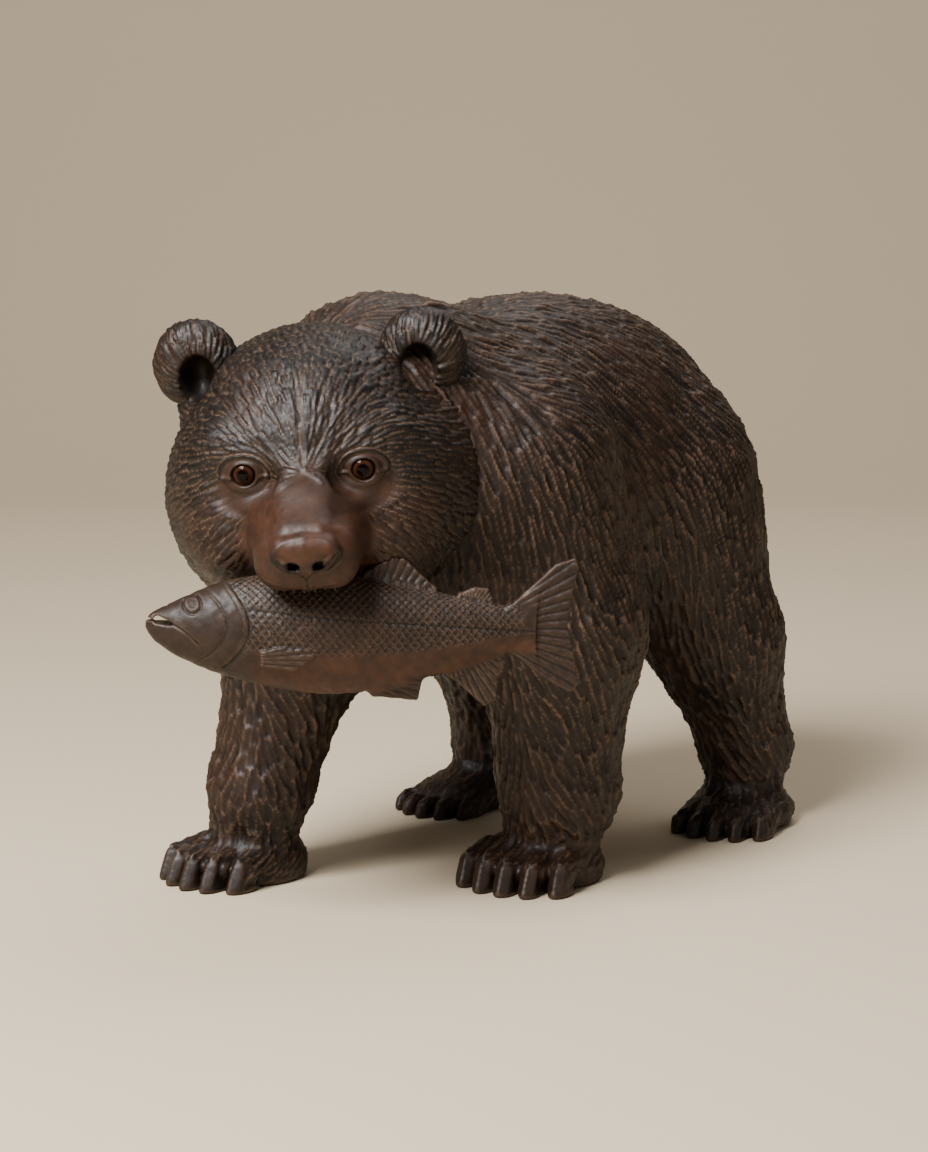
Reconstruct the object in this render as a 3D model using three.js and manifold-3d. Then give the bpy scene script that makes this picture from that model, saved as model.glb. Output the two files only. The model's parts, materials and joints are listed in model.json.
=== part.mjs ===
// A bear carved from one block of wood, walking with its head turned to its left and a carved salmon held
// across its mouth. It faces -Y, its left side is +X, and its four soles stand on Z = 0.
// The bear's form is one smooth solid: rounded volumes (egg shapes and tapering limbs) that melt into each
// other, followed by a grid that is finest at the face. Toes, ears and eyelids are added to it, and the seat
// of the salmon, the eye sockets and the ground are cut from it.
import * as THREE from "three";
import { mergeVertices } from "three/addons/utils/BufferGeometryUtils.js";
import Module from "manifold-3d";

// Driving sizes, in millimetres and degrees.
const HUMP_HEIGHT = 252.6; // ground to the top of the shoulder hump
const HEAD_YAW = 28; // the head's turn to the bear's left
const HEAD_PITCH = 10; // how far the nose is lowered
const HEAD_ROLL = 3.4; // how far the head leans to its right
const EYE_DIAMETER = 12; // glass eye
const SALMON_LENGTH = 172; // snout to tail tips
const SALMON_YAW = 37; // the way the salmon's near side faces, from -Y towards the bear's left
const SALMON_DROP = 2; // how far its tail is lowered
const FIN_THICKNESS = 3.2;
const FIT_GAP = 0.4; // between the bear and each piece let into it
const GRID_STEP = 13.6; // followed surface, away from the face
const FACE_FINENESS = 0.45; // the grid's step at the face, as a share of GRID_STEP

// Proportions are written in millimetres of a bear this tall, and follow HUMP_HEIGHT.
const DRAWN_HEIGHT = 252.6;
const K = HUMP_HEIGHT / DRAWN_HEIGHT;
const sized = (v) => v.map((x) => x * K);

// Blending lengths: how softly two volumes melt together, in the same drawn millimetres.
const BLEND = { trunk: 28, neck: 18, leg: 18, limb: 16, hip: 14, cheek: 12, face: 8, head: 6, sharp: 1.5 };

// Signed distances. Each volume gives about the distance from p to its skin, negative inside.
const smoothUnion = (a, b, k) => {
  const h = Math.max(k - Math.abs(a - b), 0) / k;
  return Math.min(a, b) - (h * h * k) / 4;
};
const smoothCut = (a, tool, k) => -smoothUnion(-a, tool, k);
const egg = (p, c, r) => {
  const q = [(p[0] - c[0]) / r[0], (p[1] - c[1]) / r[1], (p[2] - c[2]) / r[2]];
  const near = Math.hypot(q[0], q[1], q[2]);
  return (near * (near - 1)) / (Math.hypot(q[0] / r[0], q[1] / r[1], q[2] / r[2]) + 1e-9);
};
// A block with rounded edges. It falls towards the front by dip, a share of the way.
const block = (p, c, half, rounded, dip = 0) => {
  const forward = p[1] - c[1];
  const q = [p[0] - c[0], forward, p[2] - c[2] - dip * forward].map((x, i) => Math.abs(x) - half[i] + rounded);
  return Math.hypot(...q.map((x) => Math.max(x, 0))) + Math.min(Math.max(...q), 0) - rounded;
};
const limb = (p, a, b, ra, rb) => {
  const ab = [b[0] - a[0], b[1] - a[1], b[2] - a[2]];
  const ap = [p[0] - a[0], p[1] - a[1], p[2] - a[2]];
  const along = (ap[0] * ab[0] + ap[1] * ab[1] + ap[2] * ab[2]) / (ab[0] ** 2 + ab[1] ** 2 + ab[2] ** 2);
  const h = Math.min(1, Math.max(0, along));
  return Math.hypot(ap[0] - h * ab[0], ap[1] - h * ab[1], ap[2] - h * ab[2]) - (ra + h * (rb - ra));
};

// The head's own frame: its centre, and its left, forward and up directions.
const HEAD_CENTRE = [-12, -78, 184];
function headAxes() {
  const [yaw, pitch, roll] = [HEAD_YAW, HEAD_PITCH, HEAD_ROLL].map(THREE.MathUtils.degToRad);
  const forward = new THREE.Vector3(
    Math.sin(yaw) * Math.cos(pitch), -Math.cos(yaw) * Math.cos(pitch), -Math.sin(pitch));
  const level = new THREE.Vector3(Math.cos(yaw), Math.sin(yaw), 0);
  const upright = new THREE.Vector3().crossVectors(forward, level).negate();
  if (upright.z < 0) upright.negate();
  const left = level.clone().multiplyScalar(Math.cos(roll)).addScaledVector(upright, Math.sin(roll));
  const up = upright.multiplyScalar(Math.cos(roll)).addScaledVector(level, -Math.sin(roll));
  return [left, forward, up];
}
const [HEAD_LEFT, HEAD_FORWARD, HEAD_UP] = headAxes();
const inHead = (p) => {
  const q = new THREE.Vector3(p[0] - HEAD_CENTRE[0], p[1] - HEAD_CENTRE[1], p[2] - HEAD_CENTRE[2]);
  return [q.dot(HEAD_LEFT), q.dot(HEAD_FORWARD), q.dot(HEAD_UP)];
};
const fromHead = (u, v, w) => HEAD_LEFT.clone().multiplyScalar(u).addScaledVector(HEAD_FORWARD, v)
  .addScaledVector(HEAD_UP, w).add(new THREE.Vector3(...HEAD_CENTRE)).toArray();

const headMatrix = () => new THREE.Matrix4().makeBasis(HEAD_LEFT, HEAD_FORWARD, HEAD_UP)
  .setPosition(...HEAD_CENTRE);

// Where the eyes sit in the head's frame: out from the middle, forward, up.
const EYE_AT = { out: 23.4, forward: 38, up: 10.5 };
const EYELID = { half: [7.6, 7.3, 7.3], opening: [5.6, 6, 4.9], openingAt: [0.8, 7, 0] };
// An ear is an egg, and its hollow a tapering limb cut into it.
const EAR = {
  at: [46.4, -12, 42.4], half: [16.5, 9.5, 17.5],
  hollow: { from: [-1.5, 13, -2], to: [-3, 3, -6], fromRadius: 9.5, toRadius: 6 },
};
const MUZZLE_LEAN = 0.055; // how far the muzzle leans to the bear's left, as a share of the way forward

function muzzle(q) {
  let d = limb(q, [0, 20, -9], [0, 46, -11], 31, 23.5);
  d = smoothUnion(d, block(q, [0, 50, -15.5], [20.8, 29, 13.5], 11), BLEND.head); // upper lip
  return smoothUnion(d, block(q, [0, 52, 3.5], [9.6, 27, 6], 4, -0.42), 7); // bridge of the nose
}
function head(p) {
  const q = inHead(p);
  q[0] -= MUZZLE_LEAN * Math.max(q[1] - EYE_AT.forward, 0);
  const m = [Math.abs(q[0]), q[1], q[2]]; // both sides alike
  let d = egg(q, [0, -7, 9], [51, 53, 47]); // cranium
  d = smoothUnion(d, egg(m, [33, -8, -14], [29.5, 34, 38]), BLEND.cheek); // cheek ruffs
  d = smoothUnion(d, egg(q, [38, -12, -8], [30, 30, 38]), BLEND.cheek); // the left one stands out more
  d = smoothUnion(d, egg(q, [0, -14, -38], [50, 40, 34]), BLEND.cheek); // throat ruff
  d = smoothUnion(d, egg(m, [31, 13, 0], [22, 24, 26]), BLEND.cheek); // cheekbones
  d = smoothUnion(d, egg(m, [29, 20, -20], [20, 25, 22]), BLEND.cheek); // jowls
  d = smoothUnion(d, egg(m, [25, 27, 19], [15, 9, 9]), 10); // brows
  d = smoothUnion(d, muzzle(q), 10);
  d = smoothUnion(d, limb(q, [0, 26, -44], [0, 50, -53], 20, 15), BLEND.face); // lower jaw
  const { out, forward, up } = EYE_AT;
  d = smoothCut(d, egg(m, [out - 3, forward + 10.5, up - 1], [11, 7.5, 8]), 5); // hollows of the eyes
  d = smoothUnion(d, limb(m, [0, 80, -8.2], [8.6, 79, -8.8], 5.3, 4.8), BLEND.sharp); // nose
  return smoothUnion(d, egg(q, [0, 78.5, -12.5], [10.5, 6.5, 7]), BLEND.sharp);
}

// Each leg runs from the shoulder or hip through the elbow or knee to the ankle. Its paw lies flat on the
// ground around paw.at, turned by paw.turn degrees.
const LEGS = {
  front_right: {
    top: [-39, -22, 172], topRadius: 38, joint: [-51, -33, 104], jointRadius: 30.5,
    ankle: [-61, -49, 38], ankleRadius: 22.5, paw: { at: [-69, -57], turn: -10, length: 66, width: 52, height: 17 },
  },
  front_left: {
    top: [40, -2, 180], topRadius: 42, joint: [49, 16, 108], jointRadius: 36,
    ankle: [51, 14, 38], ankleRadius: 26, paw: { at: [44, 4], turn: 4, length: 69, width: 56, height: 17 },
  },
  hind_right: {
    top: [-30, 108, 148], topRadius: 46, joint: [-47, 122, 88], jointRadius: 32,
    ankle: [-51, 133, 34], ankleRadius: 20, paw: { at: [-56, 108], turn: -6, length: 65, width: 46, height: 11 },
  },
  hind_left: {
    top: [42, 119, 152], topRadius: 44, joint: [63, 138, 88], jointRadius: 29,
    ankle: [71, 155, 34], ankleRadius: 21.5, paw: { at: [73, 141], turn: 8, length: 73, width: 50, height: 12 },
  },
};
const TOES = 5;
const TOE_ARC = 8; // the outer toes stand back by this much
const TOE_WIDTH = 1.12; // shares of the paw's width that each toe takes

// The paw's own frame: sideways, towards the toes, up.
function inPaw(paw, p) {
  const turn = THREE.MathUtils.degToRad(paw.turn);
  const [x, y] = [p[0] - paw.at[0], p[1] - paw.at[1]];
  return [x * Math.cos(turn) + y * Math.sin(turn), x * Math.sin(turn) - y * Math.cos(turn), p[2]];
}
function leg(p, { top, topRadius, joint, jointRadius, ankle, ankleRadius, paw }) {
  let d = limb(p, top, joint, topRadius, jointRadius);
  d = smoothUnion(d, limb(p, joint, ankle, jointRadius, ankleRadius), BLEND.limb);
  const heel = [ankle[0] * 0.75 + paw.at[0] * 0.25, ankle[1] * 0.75 + paw.at[1] * 0.25, 15];
  d = smoothUnion(d, limb(p, ankle, heel, ankleRadius, 16), BLEND.face);
  const pad = egg(inPaw(paw, p), [0, -8, 6], [paw.width / 2, paw.length / 2 - 6, paw.height]);
  return smoothUnion(d, pad, BLEND.face);
}

function trunk(p) {
  let d = egg(p, [-8, -20, 160], [62, 60, 74]); // chest
  d = smoothUnion(d, egg(p, [-12, -35, 203], [46, 48, 48]), BLEND.trunk); // shoulder hump
  d = smoothUnion(d, egg(p, [0, 55, 168], [68, 98, 76.5]), BLEND.trunk); // ribs and belly
  d = smoothUnion(d, egg(p, [7, 112, 163], [64, 84, 74]), BLEND.trunk); // rump
  const hips = [Math.abs(p[0] - 7), p[1] - 124, p[2] - 143];
  d = smoothUnion(d, egg(hips, [44, 0, 0], [31.5, 49, 60]), BLEND.hip);
  d = smoothUnion(d, egg(p, [6, 198, 168], [8, 9, 14]), BLEND.cheek); // stub of a tail
  d = smoothUnion(d, limb(p, [-8, -24, 190], [-15, -66, 192], 55, 43), BLEND.neck); // neck
  return smoothCut(d, egg(p, [66, -50, 142], [16, 26, 34]), BLEND.face); // hollow between neck and shoulder
}

function bearForm(p) {
  let d = trunk(p);
  for (const one of Object.values(LEGS)) d = smoothUnion(d, leg(p, one), BLEND.leg);
  return smoothUnion(d, head(p), BLEND.head);
}

// Follows the skin of a form with one corner in each grid cell that the skin crosses. The grid is drawn in
// towards a centre of interest, so that its cells are finest there.
function followSkin(form, low, high, step, centre, fineness) {
  const REACH = 70;
  const drawIn = (q) => {
    const from = [q[0] - centre[0], q[1] - centre[1], q[2] - centre[2]];
    const far = Math.hypot(...from) + 1e-9;
    const share = 1 - ((1 - fineness) * REACH * (1 - Math.exp(-far / REACH))) / far;
    return [centre[0] + from[0] * share, centre[1] + from[1] * share, centre[2] + from[2] * share];
  };
  const count = low.map((x, i) => Math.ceil((high[i] - x) / step) + 1);
  const at = (i, j, k) => (i * count[1] + j) * count[2] + k;
  const value = new Float64Array(count[0] * count[1] * count[2]);
  for (let i = 0; i < count[0]; i++)
    for (let j = 0; j < count[1]; j++)
      for (let k = 0; k < count[2]; k++)
        value[at(i, j, k)] = form(drawIn([low[0] + i * step, low[1] + j * step, low[2] + k * step]));

  const offset = (a) => [a & 1, (a >> 1) & 1, (a >> 2) & 1];
  const cellCorners = [0, 1, 2, 3, 4, 5, 6, 7].map((a) => at(...offset(a)));
  while (partTouchingSkins(value, cellCorners));

  const corners = [];
  const cornerOf = new Map();
  const EDGES = [];
  for (let a = 0; a < 8; a++)
    for (const bit of [1, 2, 4]) if (!(a & bit)) EDGES.push([a, a | bit]);
  for (let i = 0; i < count[0] - 1; i++)
    for (let j = 0; j < count[1] - 1; j++)
      for (let k = 0; k < count[2] - 1; k++) {
        const sum = [0, 0, 0];
        let crossings = 0;
        for (const [a, b] of EDGES) {
          const [oa, ob] = [offset(a), offset(b)];
          const va = value[at(i + oa[0], j + oa[1], k + oa[2])];
          const vb = value[at(i + ob[0], j + ob[1], k + ob[2])];
          if (va < 0 === vb < 0) continue;
          const t = va / (va - vb);
          for (let n = 0; n < 3; n++) sum[n] += oa[n] + t * (ob[n] - oa[n]);
          crossings++;
        }
        if (!crossings) continue;
        const cell = [i, j, k];
        cornerOf.set(at(i, j, k), corners.length);
        corners.push(drawIn(cell.map((c, n) => low[n] + step * (c + sum[n] / crossings))));
      }
  for (const c of corners) settleOnSkin(form, c, step / 4);

  const faces = [];
  for (let i = 1; i < count[0] - 1; i++)
    for (let j = 1; j < count[1] - 1; j++)
      for (let k = 1; k < count[2] - 1; k++)
        for (let axis = 0; axis < 3; axis++) {
          const here = value[at(i, j, k)] < 0;
          const next = value[at(i + (axis === 0), j + (axis === 1), k + (axis === 2))] < 0;
          if (here === next) continue;
          const [u, v] = [(axis + 1) % 3, (axis + 2) % 3];
          const cell = (du, dv) => {
            const c = [i, j, k];
            c[u] -= du;
            c[v] -= dv;
            return cornerOf.get(at(...c));
          };
          const ring = [cell(1, 1), cell(0, 1), cell(0, 0), cell(1, 0)];
          if (!here) ring.reverse();
          faces.push(...splitQuad(corners, ring));
        }
  return solidFrom(corners.flat(), faces);
}

// Two stretches of skin that would touch along an edge or at a point of the grid are joined or parted there,
// at the grid corner that lies nearest to the skin. Says how many places it mended.
const DIAGONALS = [];
for (const bit of [1, 2, 4])
  for (const side of [0, bit]) {
    const [u, v] = [1, 2, 4].filter((other) => other !== bit);
    DIAGONALS.push([side, side | u | v, side | u, side | v]);
  }
for (const a of [0, 1, 2, 3]) {
  const others = [0, 1, 2, 3, 4, 5, 6, 7].filter((b) => b !== a && b !== 7 - a);
  DIAGONALS.push([a, 7 - a, ...others]);
}
function partTouchingSkins(value, cellCorners) {
  let mended = 0;
  const last = value.length - cellCorners[7];
  for (let start = 0; start < last; start++)
    for (const diagonal of DIAGONALS) {
      const [first, second, ...others] = diagonal.map((a) => start + cellCorners[a]);
      const inside = value[first] < 0;
      if (value[second] < 0 !== inside) continue;
      if (others.some((other) => value[other] < 0 === inside)) continue;
      const nearest = [first, second, ...others].sort((m, n) => Math.abs(value[m]) - Math.abs(value[n]))[0];
      value[nearest] = -Math.sign(value[nearest] || 1) * 1e-3;
      mended++;
    }
  return mended;
}

// Moves a corner along the form's slope until it lies on the skin.
function settleOnSkin(form, c, most) {
  const H = 0.5;
  for (let turn = 0; turn < 3; turn++) {
    const slope = [0, 1, 2].map((n) => {
      const [a, b] = [[...c], [...c]];
      a[n] += H;
      b[n] -= H;
      return (form(a) - form(b)) / (2 * H);
    });
    const steep = slope[0] ** 2 + slope[1] ** 2 + slope[2] ** 2 + 1e-6;
    const move = form(c) / steep;
    const limited = Math.min(1, most / (Math.abs(move) * Math.sqrt(steep) + 1e-9));
    for (let n = 0; n < 3; n++) c[n] -= move * slope[n] * limited;
  }
}

// Splits a ring of four corners along its shorter diagonal.
function splitQuad(corners, [a, b, c, d]) {
  const gap = (m, n) => Math.hypot(...corners[m].map((x, i) => x - corners[n][i]));
  return gap(a, c) < gap(b, d) ? [a, b, c, a, c, d] : [a, b, d, b, c, d];
}

// Joining and cutting.
const wasm = await Module();
wasm.setup();
function solidFrom(positions, triangles) {
  return new wasm.Manifold(new wasm.Mesh({
    numProp: 3, vertProperties: new Float32Array(positions), triVerts: new Uint32Array(triangles),
  }));
}
function solidOf(geometry, matrix = new THREE.Matrix4()) {
  const bare = geometry.clone().applyMatrix4(matrix);
  bare.deleteAttribute("normal");
  bare.deleteAttribute("uv");
  const merged = mergeVertices(bare, 1e-4);
  return solidFrom(merged.attributes.position.array, merged.index.array);
}
function geometryOf(solid) {
  const { vertProperties, triVerts } = solid.getMesh();
  const made = new THREE.BufferGeometry();
  made.setAttribute("position", new THREE.BufferAttribute(new Float32Array(vertProperties), 3));
  made.setIndex(new THREE.BufferAttribute(new Uint32Array(triVerts), 1));
  made.computeVertexNormals();
  return made;
}

// One toe is a block of six sides that arches over the knuckle and ends in a wedge-shaped claw on the ground.
function toeAndClaw(paw, number) {
  const side = (2 * number) / (TOES - 1) - 1; // -1 to 1 across the paw
  const half = (paw.width / TOES / 2) * TOE_WIDTH;
  const across = side * (paw.width / 2 - half);
  const tip = paw.length / 2 - TOE_ARC * side * side;
  const high = paw.height - 5.5;
  // Sections from the instep to the claw's edge: forward, up, half width and half height.
  const sections = [
    [tip - 32, high - 1, half * 0.9, high], [tip - 20, high - 0.5, half + 1, high + 0.5],
    [tip - 11, high - 2, half + 0.3, high], [tip - 4, high - 5, half * 0.88, high - 2], [tip, 2, half * 0.3, 4],
  ];
  const positions = [];
  for (const [forward, up, wide, tall] of sections)
    for (let corner = 0; corner < 6; corner++) {
      const angle = (Math.PI * (2 * corner + 1)) / 6;
      const lean = across * (1 - 0.14 * ((tip - forward) / 23));
      positions.push(lean + Math.cos(angle) * wide * 1.1, forward, up + Math.sin(angle) * tall);
    }
  const faces = [];
  for (let i = 0; i < sections.length - 1; i++)
    for (let j = 0; j < 6; j++) {
      const [a, b] = [i * 6 + j, i * 6 + ((j + 1) % 6)];
      faces.push(a, b + 6, b, a, a + 6, b + 6);
    }
  const last = (sections.length - 1) * 6;
  for (let j = 1; j < 5; j++) faces.push(0, j, j + 1, last, last + j + 1, last + j);
  const turn = THREE.MathUtils.degToRad(paw.turn);
  const matrix = new THREE.Matrix4().makeTranslation(paw.at[0], paw.at[1], 0)
    .multiply(new THREE.Matrix4().makeRotationZ(turn + Math.PI))
    .multiply(new THREE.Matrix4().makeScale(-1, 1, 1));
  return solidFrom(positions, faces).transform(matrix.elements);
}

// A geometry placed by a matrix, with its faces turned back where the matrix mirrors it.
function mirrored(geometry, matrix) {
  const placed = geometry.clone().applyMatrix4(matrix);
  if (matrix.determinant() < 0)
    for (let i = 0; i < placed.index.count; i += 3) {
      const keep = placed.index.getX(i);
      placed.index.setX(i, placed.index.getX(i + 1));
      placed.index.setX(i + 1, keep);
    }
  return solidOf(placed);
}

// The salmon. Its stations are shares of its length: back, belly and half width at a place along it, and
// the height of its middle line. s runs from the snout to the tail, w up, and t out of the near side.
const SALMON_STATIONS = [
  { at: 0.0, back: 0.008, belly: 0.012, side: 0.006, middle: 0.0 },
  { at: 0.02, back: 0.03, belly: 0.036, side: 0.026, middle: -0.006 },
  { at: 0.08, back: 0.066, belly: 0.07, side: 0.048, middle: -0.011 },
  { at: 0.2, back: 0.116, belly: 0.112, side: 0.076, middle: -0.014 },
  { at: 0.4, back: 0.142, belly: 0.143, side: 0.09, middle: -0.018 },
  { at: 0.58, back: 0.118, belly: 0.124, side: 0.074, middle: -0.017 },
  { at: 0.74, back: 0.076, belly: 0.078, side: 0.046, middle: -0.01 },
  { at: 0.84, back: 0.052, belly: 0.055, side: 0.026, middle: 0.0 },
  { at: 0.9, back: 0.054, belly: 0.056, side: 0.013, middle: 0.0 },
];
const BODY_END = SALMON_STATIONS.at(-1).at;
const SALMON_SECTIONS = 20;
const SALMON_SIDES = 14;
// Where the mouth holds the salmon: the place along it, and the point in the head's frame.
const HELD_AT = 0.375;
const MOUTH = { out: -1.8, forward: 52.2, up: -49.7 };

// A smooth curve through one measure of the stations.
function stationCurve(measure) {
  const curve = new THREE.SplineCurve(SALMON_STATIONS.map((st) => new THREE.Vector2(st.at, st[measure])));
  const drawn = curve.getPoints(120);
  return (at) => {
    const n = drawn.findIndex((point) => point.x >= at);
    if (n <= 0) return drawn[n < 0 ? drawn.length - 1 : 0].y;
    const [a, b] = [drawn[n - 1], drawn[n]];
    return a.y + ((b.y - a.y) * (at - a.x)) / (b.x - a.x);
  };
}
const [backAt, bellyAt, sideAt, middleAt] = ["back", "belly", "side", "middle"].map(stationCurve);

// The salmon's body, from the snout to the root of the tail fin, grown by a gap all round.
function salmonBody(grown) {
  const positions = [];
  for (let i = 0; i <= SALMON_SECTIONS; i++) {
    const even = i / SALMON_SECTIONS;
    const at = BODY_END * (even - 0.35 * Math.sin(2 * Math.PI * even) / (2 * Math.PI)); // closer at the ends
    const middle = middleAt(at) * SALMON_LENGTH;
    for (let j = 0; j < SALMON_SIDES; j++) {
      const angle = (2 * Math.PI * j) / SALMON_SIDES;
      const tall = (Math.sin(angle) > 0 ? backAt(at) : bellyAt(at)) * SALMON_LENGTH + grown;
      const wide = sideAt(at) * SALMON_LENGTH + grown;
      positions.push(at * SALMON_LENGTH, -Math.cos(angle) * wide, middle + Math.sin(angle) * tall);
    }
  }
  const faces = [];
  for (let i = 0; i < SALMON_SECTIONS; i++)
    for (let j = 0; j < SALMON_SIDES; j++) {
      const [a, b] = [i * SALMON_SIDES + j, i * SALMON_SIDES + ((j + 1) % SALMON_SIDES)];
      faces.push(a, b + SALMON_SIDES, b, a, a + SALMON_SIDES, b + SALMON_SIDES);
    }
  const last = SALMON_SECTIONS * SALMON_SIDES;
  for (let j = 1; j < SALMON_SIDES - 1; j++) faces.push(0, j, j + 1, last, last + j + 1, last + j);
  return solidFrom(positions, faces);
}

// Fins in the salmon's side plane, in shares of its length. Each outline is a smooth curve, or straight
// lines where cornered is set.
const FINS = [
  { cornered: true, outline: [[0.84, -0.045], [0.84, 0.045], [0.945, 0.15], [0.99, 0.165], [1.0, 0.145],
    [0.985, 0.08], [0.978, 0.01], [0.995, -0.06], [1.01, -0.13], [0.99, -0.15], [0.925, -0.115]] }, // tail
  { cornered: true, outline: [[0.485, 0.09], [0.505, 0.125], [0.57, 0.166], [0.59, 0.16], [0.665, 0.09],
    [0.65, 0.06]] }, // back
  { outline: [[0.71, 0.05], [0.755, 0.092], [0.8, 0.085], [0.8, 0.05]] }, // small fatty fin before the tail
  { cornered: true, outline: [[0.67, -0.06], [0.7, -0.11], [0.79, -0.185], [0.815, -0.17],
    [0.825, -0.045]] }, // under the tail
];
const PELVIC = {
  cornered: true, outline: [[0.5, -0.105], [0.53, -0.165], [0.63, -0.175], [0.635, -0.13]],
  root: -0.1, apart: 0.03, splay: 0.42,
};
const PECTORAL = {
  cornered: true, outline: [[0.27, -0.085], [0.265, -0.05], [0.39, -0.045], [0.36, -0.09]], raised: 1.6,
};

// A fin's plate, lying in the side plane. Its outline and its faces stand out by a gap where it is grown.
function finPlate({ outline, cornered }, thickness, grown) {
  const drawn = outline.map(([s, w]) => new THREE.Vector2(s, w).multiplyScalar(SALMON_LENGTH));
  const middle = drawn.reduce((sum, point) => sum.add(point), new THREE.Vector2()).divideScalar(drawn.length);
  const outwards = (point) => point.clone().sub(middle).normalize();
  const points = drawn.map((point) => point.addScaledVector(outwards(point), grown * 2));
  const round = new THREE.SplineCurve([...points, points[0]]).getPoints(12).slice(0, -1);
  const shape = new THREE.Shape(cornered ? points : round);
  const depth = thickness + 2 * grown;
  return new THREE.ExtrudeGeometry(shape, { depth, bevelEnabled: false, steps: 1 })
    .translate(0, 0, -depth / 2).rotateX(Math.PI / 2);
}
function salmonSolid(grown) {
  let fish = salmonBody(grown);
  for (const fin of FINS) fish = fish.add(solidOf(finPlate(fin, FIN_THICKNESS, grown)));
  for (const side of [-1, 1]) {
    const [apart, root] = [side * PELVIC.apart * SALMON_LENGTH, PELVIC.root * SALMON_LENGTH];
    const pelvic = new THREE.Matrix4().makeTranslation(0, apart, root)
      .multiply(new THREE.Matrix4().makeRotationX(side * PELVIC.splay))
      .multiply(new THREE.Matrix4().makeTranslation(0, 0, -root));
    fish = fish.add(solidOf(finPlate(PELVIC, FIN_THICKNESS, grown), pelvic));
    const out = side * (sideAt(PECTORAL.outline[0][0]) * SALMON_LENGTH + PECTORAL.raised - FIN_THICKNESS / 2);
    const pectoral = new THREE.Matrix4().makeTranslation(0, out, 0);
    fish = fish.add(solidOf(finPlate(PECTORAL, FIN_THICKNESS, grown), pectoral));
  }
  return fish;
}

// From the salmon's frame (in true millimetres) to the bear's drawn frame.
function salmonPlace() {
  const yaw = THREE.MathUtils.degToRad(SALMON_YAW);
  const held = fromHead(MOUTH.out, MOUTH.forward, MOUTH.up);
  return new THREE.Matrix4().makeTranslation(...sized(held))
    .multiply(new THREE.Matrix4().makeRotationZ(yaw))
    .multiply(new THREE.Matrix4().makeRotationY(THREE.MathUtils.degToRad(SALMON_DROP)))
    .multiply(new THREE.Matrix4().makeTranslation(-HELD_AT * SALMON_LENGTH, 0, 0));
}
const place = salmonPlace();

// The bear: the followed skin, then toes and claws, then what is cut away.
const LOW = [-165, -215, -60];
const HIGH = [165, 265, 310];
const FACE = [8, -118, 175]; // between the eyes and the nose, where the grid is finest
let bear = followSkin(bearForm, LOW, HIGH, GRID_STEP, FACE, FACE_FINENESS);
for (const { paw } of Object.values(LEGS))
  for (let toe = 0; toe < TOES; toe++) bear = bear.add(toeAndClaw(paw, toe));
// An egg in the head's frame, on one side.
function headEgg(side, at, half, segments, rings) {
  const put = new THREE.Matrix4().makeTranslation(side * at[0], at[1], at[2]);
  const stretch = new THREE.Matrix4().makeScale(...half);
  const matrix = headMatrix().multiply(put).multiply(stretch);
  return mirrored(new THREE.SphereGeometry(1, segments, rings), matrix);
}
const eyeAt = [EYE_AT.out, EYE_AT.forward, EYE_AT.up];
const moved = (at, by) => at.map((x, i) => x + by[i]);
for (const side of [-1, 1]) {
  bear = bear.add(headEgg(side, EAR.at, EAR.half, 12, 8));
  const { from, to, fromRadius, toRadius } = EAR.hollow;
  const mouth = headEgg(side, moved(EAR.at, from), [fromRadius, fromRadius, fromRadius], 10, 6);
  const depth = headEgg(side, moved(EAR.at, to), [toRadius, toRadius, toRadius], 10, 6);
  bear = bear.subtract(wasm.Manifold.hull([mouth, depth]));
  bear = bear.add(headEgg(side, eyeAt, EYELID.half, 10, 8));
  bear = bear.subtract(headEgg(side, moved(eyeAt, EYELID.openingAt), EYELID.opening, 10, 6));
}
bear = bear.scale(K);

const GROUND = { across: 600, along: 800, deep: 100 }; // the block that is cut away below the soles
const ground = new THREE.BoxGeometry(...sized([GROUND.across, GROUND.along, GROUND.deep]))
  .translate(0, 0, (-GROUND.deep / 2) * K);
bear = bear.subtract(solidOf(ground));
bear = bear.subtract(salmonSolid(FIT_GAP).transform(place.elements));

const EYE_SEGMENTS = 12;
const eyes = {};
for (const [name, side] of [["eye_left", 1], ["eye_right", -1]]) {
  const at = sized(fromHead(side * EYE_AT.out, EYE_AT.forward, EYE_AT.up));
  const ball = (radius) => new THREE.SphereGeometry(radius, EYE_SEGMENTS, EYE_SEGMENTS / 2 + 2);
  bear = bear.subtract(solidOf(ball(EYE_DIAMETER / 2 + FIT_GAP).translate(...at)));
  eyes[name] = { geometry: ball(EYE_DIAMETER / 2), at };
}

const darkWood = new THREE.MeshStandardMaterial({ color: 0x3a2317, roughness: 0.5, metalness: 0 });
const brownWood = new THREE.MeshStandardMaterial({ color: 0x4a2c1b, roughness: 0.45, metalness: 0 });
const glass = new THREE.MeshStandardMaterial({ color: 0x1a0d07, roughness: 0.05, metalness: 0 });

const carving = new THREE.Group();
function addMesh(name, geometry, material, position = [0, 0, 0]) {
  const mesh = new THREE.Mesh(geometry, material);
  mesh.name = name;
  mesh.position.set(...position);
  carving.add(mesh);
}
addMesh("bear", geometryOf(bear), darkWood);
addMesh("salmon", geometryOf(salmonSolid(0).transform(place.elements)), brownWood);
for (const [name, { geometry, at }] of Object.entries(eyes)) addMesh(name, geometry, glass, at);

// The origin lies on the ground under the middle of the whole carving.
const extent = new THREE.Box3().setFromObject(carving, true);
carving.position.set(-(extent.min.x + extent.max.x) / 2, -(extent.min.y + extent.max.y) / 2, -extent.min.z);

export default carving;
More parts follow.
